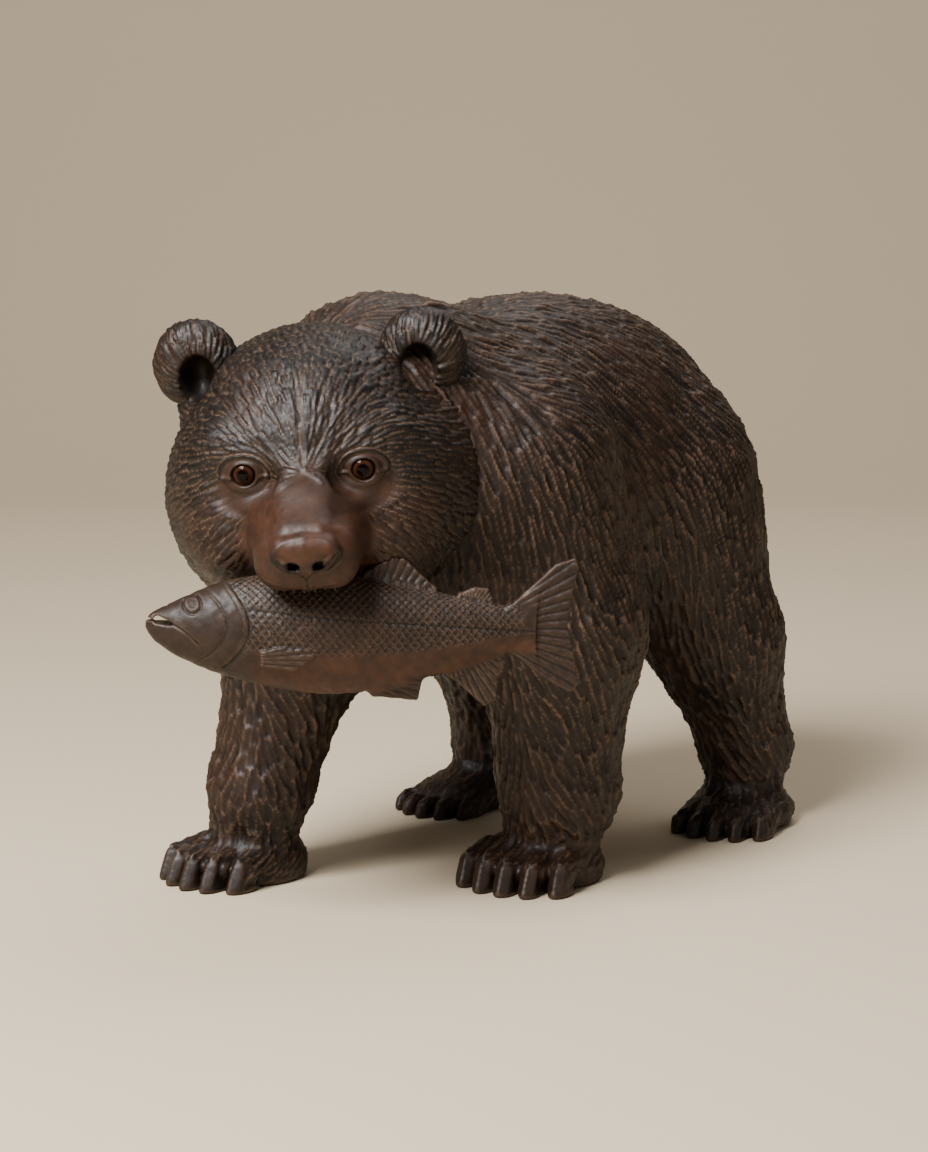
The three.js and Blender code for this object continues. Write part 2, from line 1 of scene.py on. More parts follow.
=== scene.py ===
"""The finished look of a wood-carved bear that walks with a carved salmon across its mouth.

The bear's form is written in drawn millimetres of its own frame, as rounded volumes that melt into each
other. It is turned into a fine skin, and thousands of gouge cuts are then taken from that skin along the
lie of the fur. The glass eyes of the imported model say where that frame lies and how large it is.
"""
import json
import logging
import math
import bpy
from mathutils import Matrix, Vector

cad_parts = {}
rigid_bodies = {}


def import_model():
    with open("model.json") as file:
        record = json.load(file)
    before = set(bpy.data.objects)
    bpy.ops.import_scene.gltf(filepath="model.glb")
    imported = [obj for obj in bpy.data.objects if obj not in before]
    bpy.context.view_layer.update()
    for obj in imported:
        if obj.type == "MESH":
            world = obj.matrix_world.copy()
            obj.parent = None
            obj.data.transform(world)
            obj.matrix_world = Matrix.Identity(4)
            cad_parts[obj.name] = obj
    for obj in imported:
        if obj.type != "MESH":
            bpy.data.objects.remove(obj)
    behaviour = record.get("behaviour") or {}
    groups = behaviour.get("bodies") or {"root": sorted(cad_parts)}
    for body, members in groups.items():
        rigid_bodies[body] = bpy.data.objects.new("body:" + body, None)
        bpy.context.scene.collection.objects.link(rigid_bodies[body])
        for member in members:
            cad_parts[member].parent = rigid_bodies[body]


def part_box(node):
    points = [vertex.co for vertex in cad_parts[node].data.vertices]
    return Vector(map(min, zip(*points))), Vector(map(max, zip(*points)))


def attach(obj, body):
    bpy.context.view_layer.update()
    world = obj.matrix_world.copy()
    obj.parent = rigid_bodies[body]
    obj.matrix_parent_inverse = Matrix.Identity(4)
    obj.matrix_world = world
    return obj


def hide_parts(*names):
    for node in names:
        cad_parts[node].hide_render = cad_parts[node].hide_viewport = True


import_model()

from concurrent.futures import ThreadPoolExecutor
from dataclasses import dataclass, field
from enum import Enum
from typing import Callable, Sequence

import bmesh
import bpy
import numpy as np
from mathutils import Matrix, Vector

log = logging.getLogger("bear carving")
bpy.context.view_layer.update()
SEED = 17
Points = np.ndarray
Distance = Callable[[Points], np.ndarray]


def soft_union(a: np.ndarray, b: np.ndarray, blend: float) -> np.ndarray:
    """Melt two distances into one skin.

    Args:
        a: The first signed distance.
        b: The second signed distance.
        blend: How far apart the skins start to melt together.

    Returns:
        The signed distance to the joined form.
    """
    near = np.maximum(blend - np.abs(a - b), 0.0) / blend
    return np.minimum(a, b) - near * near * blend * 0.25


def soft_cut(a: np.ndarray, tool: np.ndarray, blend: float) -> np.ndarray:
    """Cut a tool out of a form with an eased edge."""
    return -soft_union(-a, tool, blend)


def ramp(value: np.ndarray, low: float, high: float) -> np.ndarray:
    """Rise smoothly from 0 at low to 1 at high."""
    t = np.clip((value - low) / (high - low), 0.0, 1.0)
    return t * t * (3.0 - 2.0 * t)


def unit(vectors: np.ndarray) -> np.ndarray:
    """Bring each row of an array of vectors to length 1."""
    return vectors / (np.linalg.norm(vectors, axis=-1, keepdims=True) + 1e-9)


def egg(p: Points, centre: Sequence[float], half: Sequence[float]) -> np.ndarray:
    """Give the distance from points to an egg of three half axes."""
    q = p - np.asarray(centre, p.dtype)
    r = np.asarray(half, p.dtype)
    near = np.sqrt(((q / r) ** 2).sum(1))
    slope = np.sqrt(((q / (r * r)) ** 2).sum(1)) + 1e-9
    return near * (near - 1.0) / slope


def limb(p: Points, start: Sequence[float], end: Sequence[float], thick: float, thin: float) -> np.ndarray:
    """Give the distance from points to a tapering limb with round ends.

    Args:
        p: The points.
        start: The middle of the first end.
        end: The middle of the second end.
        thick: The radius at the first end.
        thin: The radius at the second end.

    Returns:
        The signed distances.
    """
    a = np.asarray(start, p.dtype)
    along = np.asarray(end, p.dtype) - a
    h = np.clip(((p - a) @ along) / (along @ along), 0.0, 1.0)
    return np.sqrt(((p - a - h[:, None] * along) ** 2).sum(1)) - (thick + h * (thin - thick))


def block(p: Points, centre: Sequence[float], half: Sequence[float], rounded: float,
          dip: float = 0.0) -> np.ndarray:
    """Give the distance to a block with rounded edges.

    Args:
        p: The points.
        centre: Its middle.
        half: Its half sizes.
        rounded: The radius of its edges.
        dip: How steeply it falls towards the front.

    Returns:
        The signed distances.
    """
    q = p - np.asarray(centre, p.dtype)
    q[:, 2] -= dip * q[:, 1]
    q = np.abs(q) - (np.asarray(half, p.dtype) - rounded)
    return np.sqrt((np.maximum(q, 0) ** 2).sum(1)) + np.minimum(q.max(1), 0) - rounded


@dataclass(frozen=True)
class Axes:
    """A frame of its own inside the bear's frame: a middle and three directions as columns."""

    middle: tuple[float, float, float]
    columns: tuple[tuple[float, float, float], ...]

    @property
    def matrix(self) -> np.ndarray:
        """Give the three directions as the columns of a matrix."""
        return np.array(self.columns).T

    def inside(self, p: Points) -> Points:
        """Bring points of the bear's frame into this one."""
        return ((p - np.array(self.middle, p.dtype)) @ self.matrix.astype(p.dtype))

    def outside(self, q: Points) -> Points:
        """Bring points of this frame into the bear's."""
        return np.asarray(q) @ self.matrix.T + np.array(self.middle)

    def turned(self, v: np.ndarray) -> np.ndarray:
        """Bring directions of this frame into the bear's."""
        return np.asarray(v) @ self.matrix.T


def head_axes(yaw: float, pitch: float, roll: float) -> Axes:
    """Set up the head's frame: left, forward, up.

    Args:
        yaw: Degrees that the head turns to the bear's left.
        pitch: Degrees that the nose is lowered.
        roll: Degrees that the head leans to its right.

    Returns:
        The frame around the middle of the head.
    """
    y, p, r = (math.radians(v) for v in (yaw, pitch, roll))
    forward = np.array([math.sin(y) * math.cos(p), -math.cos(y) * math.cos(p), -math.sin(p)])
    level = np.array([math.cos(y), math.sin(y), 0.0])
    upright = np.cross(level, forward)
    upright = -upright if upright[2] < 0 else upright
    left = level * math.cos(r) + upright * math.sin(r)
    up = upright * math.cos(r) - level * math.sin(r)
    return Axes((-12.0, -78.0, 184.0), (tuple(left), tuple(forward), tuple(up)))


@dataclass(frozen=True)
class Leg:
    """One leg: its three joints with their radii, and the paw that stands at the end of it."""

    top: tuple[float, float, float]
    top_radius: float
    joint: tuple[float, float, float]
    joint_radius: float
    ankle: tuple[float, float, float]
    ankle_radius: float
    paw_at: tuple[float, float]
    paw_turn: float
    paw_length: float
    paw_width: float
    paw_height: float
    toes: int = 5
    toe_arc: float = 8.0
    knuckle_from: float = 24.0
    knuckle_to: float = 12.0
    claw_length: float = 9.0
    claw_slope: float = 0.62

    @property
    def paw(self) -> Axes:
        """Give the paw's frame: sideways, towards the toes, up."""
        t = math.radians(self.paw_turn)
        return Axes((*self.paw_at, 0.0),
                    ((math.cos(t), math.sin(t), 0.0), (math.sin(t), -math.cos(t), 0.0), (0.0, 0.0, 1.0)))

    @property
    def toe_half(self) -> float:
        """Give half a toe's width: a little over its share of the paw, so that the toes touch."""
        return self.paw_width / self.toes * 0.56

    def toe_places(self) -> list[tuple[float, float]]:
        """List where each toe ends, sideways and forward in the paw's frame."""
        places = []
        half = self.toe_half
        for number in range(self.toes):
            side = 2.0 * number / (self.toes - 1) - 1.0
            places.append((side * (self.paw_width / 2 - half), self.paw_length / 2 - self.toe_arc * side * side))
        return places

    def shank(self, p: Points) -> np.ndarray:
        """Give the distance to the leg without its toes."""
        d = limb(p, self.top, self.joint, self.top_radius, self.joint_radius)
        d = soft_union(d, limb(p, self.joint, self.ankle, self.joint_radius, self.ankle_radius), 16.0)
        heel = (self.ankle[0] * 0.75 + self.paw_at[0] * 0.25, self.ankle[1] * 0.75 + self.paw_at[1] * 0.25, 15.0)
        d = soft_union(d, limb(p, self.ankle, heel, self.ankle_radius, 16.0), 8.0)
        half = (self.paw_width / 2, self.paw_length / 2 - 6.0, self.paw_height)
        return soft_union(d, egg(self.paw.inside(p), (0.0, -8.0, 6.0), half), 8.0)

    def toe(self, p: Points) -> np.ndarray:
        """Give the distance to the toes, which arch down to the ground and end in wedge-shaped claws."""
        q = self.paw.inside(p)
        d = np.full(len(p), 1e3, p.dtype)
        half, high = self.toe_half, self.paw_height - 5.5
        for x, y in self.toe_places():
            back, front = (x * 0.86, y - self.knuckle_from, high), (x * 0.97, y - self.knuckle_to, high - 2.5)
            knuckle = limb(q, back, front, half + 1.0, half)
            claw = egg(q, (x, y - self.claw_length, 2.5), (half * 0.74, self.claw_length, high + 1.5))
            ridge = np.abs(q[:, 0] - x) * self.claw_slope + 0.8 * (q[:, 1] - y + 0.8) + 0.35 * (q[:, 2] - 4.0)
            d = soft_union(d, soft_union(knuckle, soft_cut(claw, -ridge, 0.4), 1.6), 0.8)
        return d

    def toe_lines(self, p: Points) -> tuple[np.ndarray, np.ndarray]:
        """Find the slots between the toes and the claws at their ends.

        Args:
            p: Points in the bear's frame.

        Returns:
            1 in the slots, and 1 on the claws.
        """
        q = self.paw.inside(p)
        places = np.array(self.toe_places(), np.float32)
        near = np.abs(q[:, 0:1] - places[:, 0] * 0.95).argmin(1)
        aside = np.abs(q[:, 0] - places[near, 0] * 0.95) / self.toe_half
        behind = places[near, 1] - q[:, 1]
        here = (q[:, 2] < self.paw_height + 3) & (behind > -6) & (behind < 30)
        slot = ramp(aside, 0.66, 0.9) * ramp(-behind, -22, -14) * (here & (np.abs(q[:, 0]) < places[-1, 0]))
        claw = 0.9 * ramp(-behind, -8.5, -6.5) * (1 - ramp(q[:, 2], self.paw_height - 6.0, self.paw_height - 3.0))
        return slot, claw * (here & (np.abs(q[:, 0]) < self.paw_width / 2 + 3))


@dataclass(frozen=True)
class Mass:
    """One rounded mass of a form: an egg that melts into the masses before it."""

    name: str
    centre: tuple[float, float, float]
    half: tuple[float, float, float]
    blend: float = 0.0
    on_both_sides: bool = False


def joined(masses: Sequence[Mass], q: Points, folded: Points) -> np.ndarray:
    """Melt masses together in their order.

    Args:
        masses: The masses, the first of which is the one that the others are added to.
        q: The points.
        folded: The same points folded onto one side, for the masses that are on both sides.

    Returns:
        The signed distances.
    """
    d = egg(q, masses[0].centre, masses[0].half)
    for mass in masses[1:]:
        d = soft_union(d, egg(folded if mass.on_both_sides else q, mass.centre, mass.half), mass.blend)
    return d


@dataclass(frozen=True)
class BearForm:
    """The bear's smooth form, before any fur is cut into it."""

    head: Axes = head_axes(28.0, 10.0, 3.4)
    head_masses: tuple[Mass, ...] = (
        Mass("brain case", (0, -7, 9), (51, 53, 47)),
        Mass("jowls", (33, -8, -14), (29.5, 34, 38), 12, True),
        Mass("fuller left jowl", (38, -12, -8), (30, 30, 38), 12),
        Mass("throat", (0, -14, -38), (50, 40, 34), 12),
        Mass("cheekbones", (31, 13, 0), (22, 24, 26), 12, True),
        Mass("cheeks beside the muzzle", (29, 20, -20), (20, 25, 22), 12, True),
        Mass("brows", (25, 27, 19), (15, 9, 9), 10, True),
    )
    trunk_masses: tuple[Mass, ...] = (
        Mass("chest", (-8, -20, 160), (62, 60, 74)),
        Mass("shoulder hump", (-12, -35, 203), (46, 48, 48), 28),
        Mass("ribs", (0, 55, 168), (68, 98, 79), 28),
        Mass("loin and rump", (7, 112, 163), (64, 84, 74), 28),
    )
    hips_at: tuple[float, float, float] = (7, 124, 143)
    hip: Mass = Mass("hip", (44, 0, 0), (31.5, 49, 60), 14)
    tail: Mass = Mass("tail stub", (6, 198, 168), (8, 9, 14), 12)
    chest_dip: Mass = Mass("dip before the left shoulder", (66, -50, 142), (16, 26, 34), 8)
    nostril: Mass = Mass("nostril", (5.3, 84.0, -15.4), (2.8, 6.0, 2.1), 0.7)
    mouth_gap: Mass = Mass("gap under the upper lip", (0, 54, -46), (22, 22, 4.5), 1.5)
    nose_tip: Mass = Mass("nose between the nostrils", (0, 78.5, -12.5), (10.5, 6.5, 7), 1.5)
    muzzle_lean: float = 0.055
    eye: tuple[float, float, float] = (23.4, 38.0, 10.5)
    ear_at: tuple[float, float, float] = (46.4, -12.0, 42.4)
    legs: tuple[Leg, ...] = (
        Leg((-39, -22, 172), 38, (-51, -33, 104), 30.5, (-61, -49, 38), 22.5, (-69, -57), -10, 66, 52, 17),
        Leg((40, -2, 180), 42, (49, 16, 108), 36, (51, 14, 38), 26.0, (44, 4), 4, 69, 56, 17),
        Leg((-30, 108, 148), 46, (-47, 122, 88), 32, (-51, 133, 34), 20, (-56, 108), -6, 65, 46, 11),
        Leg((42, 119, 152), 44, (63, 138, 88), 29, (71, 155, 34), 21.5, (73, 141), 8, 73, 50, 12),
    )

    def mirrored(self, p: Points) -> tuple[Points, Points]:
        """Give points in the head's frame, whose muzzle leans a little, and the same folded onto one side."""
        q = self.head.inside(p)
        q[:, 0] -= self.muzzle_lean * np.maximum(q[:, 1] - 38, 0)
        m = q.copy()
        m[:, 0] = np.abs(m[:, 0])
        return q, m

    def ear(self, m: Points) -> np.ndarray:
        """Give the distance to an ear, in the folded head frame."""
        return soft_cut(egg(m, self.ear_at, (16.5, 9.5, 17.5)), self.ear_hollow(m), 3.0)

    def ear_hollow(self, m: Points) -> np.ndarray:
        """Give the distance to the hollow of an ear, in the folded head frame."""
        x, y, z = self.ear_at
        return egg(m, (x - 1.5, y + 9.0, z - 4.0), (6.8, 10.5, 9.4))

    def nostrils(self, q: Points) -> np.ndarray:
        """Give the distance to the nostrils, in the head frame."""
        m = q - np.array([0.5, 0.0, 0.0], q.dtype)
        m[:, 0] = np.abs(m[:, 0])
        return egg(m, self.nostril.centre, self.nostril.half)

    def muzzle(self, q: Points) -> np.ndarray:
        """Give the distance to the muzzle with its bridge and upper lip, above the mouth."""
        root = limb(q, (0, 20, -9), (0, 46, -11), 31, 23.5)
        lip = block(q, (0, 50, -15.5), (20.8, 29.0, 13.5), 11.0)
        bridge = block(q, (0, 52, 3.5), (9.6, 27, 6), 4, -0.42)
        return soft_union(soft_union(root, lip, 6), bridge, 7)

    def skull(self, p: Points) -> np.ndarray:
        """Give the distance to the head without its ears."""
        q, m = self.mirrored(p)
        d = soft_union(joined(self.head_masses, q, m), self.muzzle(q), 10)
        x, y, z = self.eye
        chin = limb(q, (0, 26, -44), (0, 50, -53), 20, 15)
        socket = egg(m, (x - 3, y + 10.5, z - 1), (11, 7.5, 8))
        lids = egg(m, self.eye, (7.3, 6.6, 6.5))
        opening = egg(m, (x + 0.8, y + 7.0, z), (5.6, 6.0, 4.9))
        nose_top = limb(m, (0, 80, -8.2), (8.6, 79, -8.8), 5.3, 4.8)
        d = soft_cut(soft_union(d, chin, 8), socket, 5)
        d = soft_cut(soft_union(d, lids, 5.5), opening, 0.4)
        d = soft_union(d, nose_top, 1.5)
        d = soft_union(d, egg(q, self.nose_tip.centre, self.nose_tip.half), self.nose_tip.blend)
        d = soft_cut(d, egg(q, self.mouth_gap.centre, self.mouth_gap.half), self.mouth_gap.blend)
        d = soft_cut(d, self.nostrils(q), self.nostril.blend)
        ex, ey, ez = self.ear_at
        ear_root = egg(m, (ex - 5, ey - 2, ez - 16), (13, 9.0, 12))
        return soft_cut(soft_union(d, ear_root, 8), self.ear_hollow(m), 2.0)

    def trunk(self, p: Points) -> np.ndarray:
        """Give the distance to the body with the neck and a stub of a tail."""
        hips = p - np.array(self.hips_at, p.dtype)
        hips[:, 0] = np.abs(hips[:, 0])
        d = joined(self.trunk_masses, p, p)
        d = soft_union(d, egg(hips, self.hip.centre, self.hip.half), self.hip.blend)
        d = soft_union(d, egg(p, self.tail.centre, self.tail.half), self.tail.blend)
        neck = limb(p, (-8, -24, 190), (-15, -66, 192), 55, 43)
        d = soft_union(d, neck, 18)
        return soft_cut(d, egg(p, self.chest_dip.centre, self.chest_dip.half), self.chest_dip.blend)

    def body(self, p: Points) -> np.ndarray:
        """Give the distance to the body and legs without the head, cut flat at the ground."""
        d = self.trunk(p)
        for leg in self.legs:
            d = soft_union(d, leg.shank(p), 18)
            d = soft_union(d, leg.toe(p), 2)
        return soft_cut(d, p[:, 2], 0.6)


def spline_table(shares: Sequence[float], values: Sequence[float], steps: int = 120) -> tuple[np.ndarray, np.ndarray]:
    """Run a smooth curve through points.

    Args:
        shares: The places of the points.
        values: The values there.
        steps: How many straight steps stand for the curve.

    Returns:
        The places and values along the curve.
    """
    n = len(shares)
    t = np.linspace(0, n - 1, steps + 1)
    i = np.minimum(t.astype(int), n - 2)
    w = t - i

    def through(v: np.ndarray) -> np.ndarray:
        """Evaluate the curve for one measure."""
        a, b, c, d = v[np.maximum(i - 1, 0)], v[i], v[i + 1], v[np.minimum(i + 2, n - 1)]
        m0, m1 = (c - a) / 2, (d - b) / 2
        return ((2 * b - 2 * c + m0 + m1) * w ** 3 + (-3 * b + 3 * c - 2 * m0 - m1) * w ** 2 + m0 * w + b)

    return through(np.array(shares, float)), through(np.array(values, float))


@dataclass(frozen=True)
class Fin:
    """A flat fin in the salmon's side plane, in shares of its length."""

    outline: tuple[tuple[float, float], ...]
    root: tuple[float, float]
    rays: float
    side: float = 0.0
    splay: float = 0.0


PELVIC_FIN = ((0.5, -0.105), (0.53, -0.165), (0.63, -0.175), (0.635, -0.13))


@dataclass(frozen=True)
class SalmonForm:
    """The salmon's form. s runs from its snout to its tail, t out of its near side, w up."""

    length: float = 172.0
    yaw: float = 37.0
    drop: float = 2.0
    held_at: float = 0.375
    mouth: tuple[float, float, float] = (-1.8, 52.2, -49.7)
    fin_thickness: float = 3.2
    places: tuple[float, ...] = (0.0, 0.02, 0.08, 0.2, 0.4, 0.58, 0.74, 0.84, 0.9)
    back: tuple[float, ...] = (0.008, 0.03, 0.066, 0.116, 0.142, 0.118, 0.076, 0.052, 0.054)
    belly: tuple[float, ...] = (0.012, 0.036, 0.07, 0.112, 0.143, 0.124, 0.078, 0.055, 0.056)
    width: tuple[float, ...] = (0.006, 0.026, 0.048, 0.076, 0.09, 0.074, 0.046, 0.026, 0.013)
    middle: tuple[float, ...] = (0.0, -0.006, -0.011, -0.014, -0.018, -0.017, -0.01, 0.0, 0.0)
    fins: tuple[Fin, ...] = (
        Fin(((0.84, -0.045), (0.84, 0.045), (0.945, 0.15), (0.99, 0.165), (1.0, 0.145), (0.985, 0.08),
             (0.978, 0.01), (0.995, -0.06), (1.01, -0.13), (0.99, -0.15), (0.925, -0.115)), (0.76, 0.0), 34.0),
        Fin(((0.485, 0.09), (0.505, 0.125), (0.57, 0.166), (0.59, 0.16), (0.665, 0.09), (0.65, 0.06)),
            (0.5, -0.06), 40.0),
        Fin(((0.71, 0.05), (0.725, 0.078), (0.76, 0.094), (0.79, 0.09), (0.797, 0.07), (0.8, 0.05)),
            (0.72, 0.0), 40.0),
        Fin(((0.67, -0.06), (0.7, -0.11), (0.79, -0.185), (0.815, -0.17), (0.825, -0.045)), (0.68, 0.02), 40.0),
        Fin(PELVIC_FIN, (0.44, -0.1), 40.0, 0.03, 0.42),
        Fin(PELVIC_FIN, (0.44, -0.1), 40.0, -0.03, -0.42),
    )
    pectoral: tuple[tuple[float, float], ...] = (
        (0.262, -0.085), (0.262, -0.052), (0.3, -0.04), (0.385, -0.045), (0.395, -0.055), (0.34, -0.095))
    lips: tuple[tuple[float, float, float], ...] = ((-3.0, 0.0, 1.0), (5.0, 0.0, 1.3))
    lip_gap: float = 0.6
    gape: tuple[tuple[float, float, float], ...] = ((4.4, 0.0, 1.4), (9.3, 0.0, 0.4))
    gape_radii: tuple[float, float] = (1.7, 0.9)

    def axes(self, head: Axes) -> Axes:
        """Set up the salmon's frame from the head that holds it."""
        y, d = math.radians(self.yaw), math.radians(self.drop)
        s = np.array([math.cos(d) * math.cos(y), math.cos(d) * math.sin(y), -math.sin(d)])
        t = np.array([math.sin(y), -math.cos(y), 0.0])
        w = np.array([math.sin(d) * math.cos(y), math.sin(d) * math.sin(y), math.cos(d)])
        snout = head.outside(np.array([self.mouth]))[0] - s * self.held_at * self.length
        return Axes(tuple(snout), (tuple(s), tuple(t), tuple(w)))

    def measure(self, share: np.ndarray, values: Sequence[float]) -> np.ndarray:
        """Read one of the body's measures, in millimetres, at places along it."""
        x, y = spline_table(self.places, values)
        return np.interp(share, x, y).astype(np.float32) * self.length

    def body(self, q: Points) -> np.ndarray:
        """Give the distance to the salmon's body without fins."""
        share = np.clip(q[:, 0] / self.length, 0.0, self.places[-1])
        height = q[:, 2] - self.measure(share, self.middle)
        tall = np.where(height > 0, self.measure(share, self.back), self.measure(share, self.belly))
        wide = self.measure(share, self.width)
        k = np.sqrt((q[:, 1] / wide) ** 2 + (height / tall) ** 2 + 1e-9)
        beyond = np.maximum(-q[:, 0], q[:, 0] - self.places[-1] * self.length)
        return np.maximum((k - 1.0) * np.minimum(wide, tall) * 0.9, beyond)

    def plate(self, q: Points, outline: Sequence[tuple[float, float]], middle: float, half: float) -> np.ndarray:
        """Give the distance to a flat plate of an outline.

        Args:
            q: Points in the salmon's frame.
            outline: The plate's corners, in shares of the salmon's length.
            middle: Where the plate's middle lies sideways.
            half: Half its thickness.

        Returns:
            The signed distances.
        """
        corners = np.array(outline, np.float32) * self.length
        x, y = q[:, 0], q[:, 2]
        far = np.full(len(q), 1e9, np.float32)
        sign = np.ones(len(q), np.float32)
        for a, b in zip(corners, np.roll(corners, -1, 0)):
            e = b - a
            px, py = x - a[0], y - a[1]
            h = np.clip((px * e[0] + py * e[1]) / (e @ e), 0, 1)
            far = np.minimum(far, (px - e[0] * h) ** 2 + (py - e[1] * h) ** 2)
            above, below, turn = y >= a[1], y < b[1], e[0] * py > e[1] * px
            sign = np.where((above & below & turn) | (~above & ~below & ~turn), -sign, sign)
        return soft_cut(sign * np.sqrt(far), half - np.abs(q[:, 1] - middle), 1.0)

    def fin_distance(self, q: Points, fin: Fin) -> np.ndarray:
        """Give the distance to one fin."""
        if fin.splay:
            root = -0.1 * self.length
            y, z = q[:, 1] - fin.side * self.length, q[:, 2] - root
            c, s = math.cos(fin.splay), math.sin(fin.splay)
            q = np.stack([q[:, 0], y * c - z * s, y * s + z * c + root], 1)
        return self.plate(q, fin.outline, 0.0, self.fin_thickness / 2)

    def pectoral_distance(self, q: Points) -> np.ndarray:
        """Give the distance to the fins that lie against the body behind the gill covers."""
        out = float(self.measure(np.array([0.27]), self.width)[0]) + 0.6
        folded = q.copy()
        folded[:, 1] = np.abs(q[:, 1])
        return self.plate(folded, self.pectoral, out - 1.2, 1.8)

    def local_distance(self, q: Points) -> np.ndarray:
        """Give the distance to the whole salmon in its own frame."""
        d = self.body(q)
        for fin in self.fins:
            d = soft_union(d, self.fin_distance(q, fin), 3.0)
        d = soft_union(d, self.pectoral_distance(q), 1.0)
        flat = q.copy()
        flat[:, 1] = 0
        d = soft_cut(d, limb(flat, *self.lips, self.lip_gap, self.lip_gap), 0.4)
        return soft_cut(d, limb(flat, *self.gape, *self.gape_radii), 0.6)


def grid_lines(low: float, high: float, fine: float, coarse: float, near: Sequence[float]) -> np.ndarray:
    """Lay grid lines along one axis, closer together over one stretch.

    Args:
        low: Where the lines start.
        high: Where they end at the earliest.
        fine: The step over the stretch.
        coarse: The step far from it.
        near: The start and end of the stretch.

    Returns:
        The places of the lines, a number of cells that four divides.
    """
    at, places = low, [low]
    while at < high or (len(places) - 1) % 4:
        away = max(near[0] - at, at - near[1], 0.0)
        at += min(coarse, fine + 0.05 * away)
        places.append(at)
    return np.array(places)


@dataclass
class SkinGrid:
    """Follows the skin of a form on a grid of lines, one corner to each cell that the skin crosses."""

    distance: Distance
    lines: tuple[np.ndarray, np.ndarray, np.ndarray]
    threads: int = 4

    @property
    def step(self) -> float:
        """Give the finest step of the grid."""
        return float(min(np.diff(places).min() for places in self.lines))

    def evaluate(self, p: Points) -> np.ndarray:
        """Give the form's distance at many points, shared among threads."""
        size = 30000
        parts = [p[i:i + size] for i in range(0, len(p), size)]
        with ThreadPoolExecutor(self.threads) as pool:
            return np.concatenate(list(pool.map(self.distance, parts)))

    def field(self) -> np.ndarray:
        """Fill the grid: exactly near the skin, roughly elsewhere."""
        c = 4
        axes = self.lines
        wide = np.stack(np.meshgrid(*[a[::c] for a in axes], indexing="ij"), -1).astype(np.float32)
        rough = self.evaluate(wide.reshape(-1, 3)).reshape(wide.shape[:3])
        near = np.abs(rough) < max(np.diff(a).max() for a in axes) * c * 1.15
        cells = np.zeros([n - 1 for n in near.shape], bool)
        corners = [(i, j, k) for i in (0, 1) for j in (0, 1) for k in (0, 1)]
        for i, j, k in corners:
            cells |= near[i:i + cells.shape[0], j:j + cells.shape[1], k:k + cells.shape[2]]
        fine = cells.repeat(c, 0).repeat(c, 1).repeat(c, 2)
        wanted = np.zeros([n + 1 for n in fine.shape], bool)
        for i, j, k in corners:
            wanted[i:i + fine.shape[0], j:j + fine.shape[1], k:k + fine.shape[2]] |= fine
        value = np.ones(wanted.shape, np.float32)
        spread = rough[:-1, :-1, :-1].repeat(c, 0).repeat(c, 1).repeat(c, 2)
        value[:spread.shape[0], :spread.shape[1], :spread.shape[2]] = spread
        at = np.argwhere(wanted)
        value[wanted] = self.evaluate(np.stack([axes[i][at[:, i]] for i in range(3)], 1).astype(np.float32))
        return value

    def skin(self) -> tuple[Points, np.ndarray]:
        """Make the skin.

        Returns:
            The corners and the four-sided faces.
        """
        value = self.field()
        inside = value < 0
        n = np.array(value.shape)
        corners = [(i, j, k) for i in (0, 1) for j in (0, 1) for k in (0, 1)]
        filled = np.zeros(n - 1, np.uint8)
        for i, j, k in corners:
            filled += inside[i:i + n[0] - 1, j:j + n[1] - 1, k:k + n[2] - 1]
        crossed = (filled > 0) & (filled < 8)
        cells = np.argwhere(crossed)
        number = np.full(n - 1, -1, np.int64)
        number[crossed] = np.arange(len(cells))
        total, hits = np.zeros((len(cells), 3)), np.zeros(len(cells))
        for a in corners:
            for axis in range(3):
                if a[axis]:
                    continue
                b = list(a)
                b[axis] = 1
                va = value[cells[:, 0] + a[0], cells[:, 1] + a[1], cells[:, 2] + a[2]]
                vb = value[cells[:, 0] + b[0], cells[:, 1] + b[1], cells[:, 2] + b[2]]
                cut = (va < 0) != (vb < 0)
                place = np.tile(np.array(a, float), (int(cut.sum()), 1))
                place[:, axis] += va[cut] / (va[cut] - vb[cut])
                total[cut] += place
                hits[cut] += 1
        where = cells + total / hits[:, None]
        points = np.stack([np.interp(where[:, i], np.arange(n[i]), self.lines[i]) for i in range(3)], 1)
        faces = [self.faces_along(axis, inside, number) for axis in range(3)]
        for _ in range(2):
            points = points - self.towards_skin(points)
        return points, np.concatenate(faces)

    @staticmethod
    def faces_along(axis: int, inside: np.ndarray, number: np.ndarray) -> np.ndarray:
        """Make the faces that cross the grid's lines along one axis."""
        n = inside.shape
        u, w = ((1, 2), (2, 0), (0, 1))[axis]
        a, b = [slice(None)] * 3, [slice(None)] * 3
        a[axis], b[axis] = slice(0, n[axis] - 1), slice(1, n[axis])
        for side in (u, w):
            a[side] = b[side] = slice(1, n[side] - 1)
        here, there = inside[tuple(a)], inside[tuple(b)]
        edge = np.argwhere(here != there)
        outward = here[tuple(edge.T)]
        edge[:, u] += 1
        edge[:, w] += 1

        def corner(du: int, dw: int) -> np.ndarray:
            """Give the corner of the cell on one side of each crossed grid line."""
            q = edge.copy()
            q[:, u] += du
            q[:, w] += dw
            return number[q[:, 0], q[:, 1], q[:, 2]]

        ring = np.stack([corner(-1, -1), corner(0, -1), corner(0, 0), corner(-1, 0)], 1)
        ring[~outward] = ring[~outward][:, ::-1]
        return ring

    def slope(self, p: Points) -> np.ndarray:
        """Give the form's outward slope at points."""
        h = max(self.step * 0.25, 0.15)
        g = np.empty_like(p)
        for i in range(3):
            d = np.zeros(3)
            d[i] = h
            g[:, i] = self.evaluate((p + d).astype(np.float32)) - self.evaluate((p - d).astype(np.float32))
        return g / (2 * h)

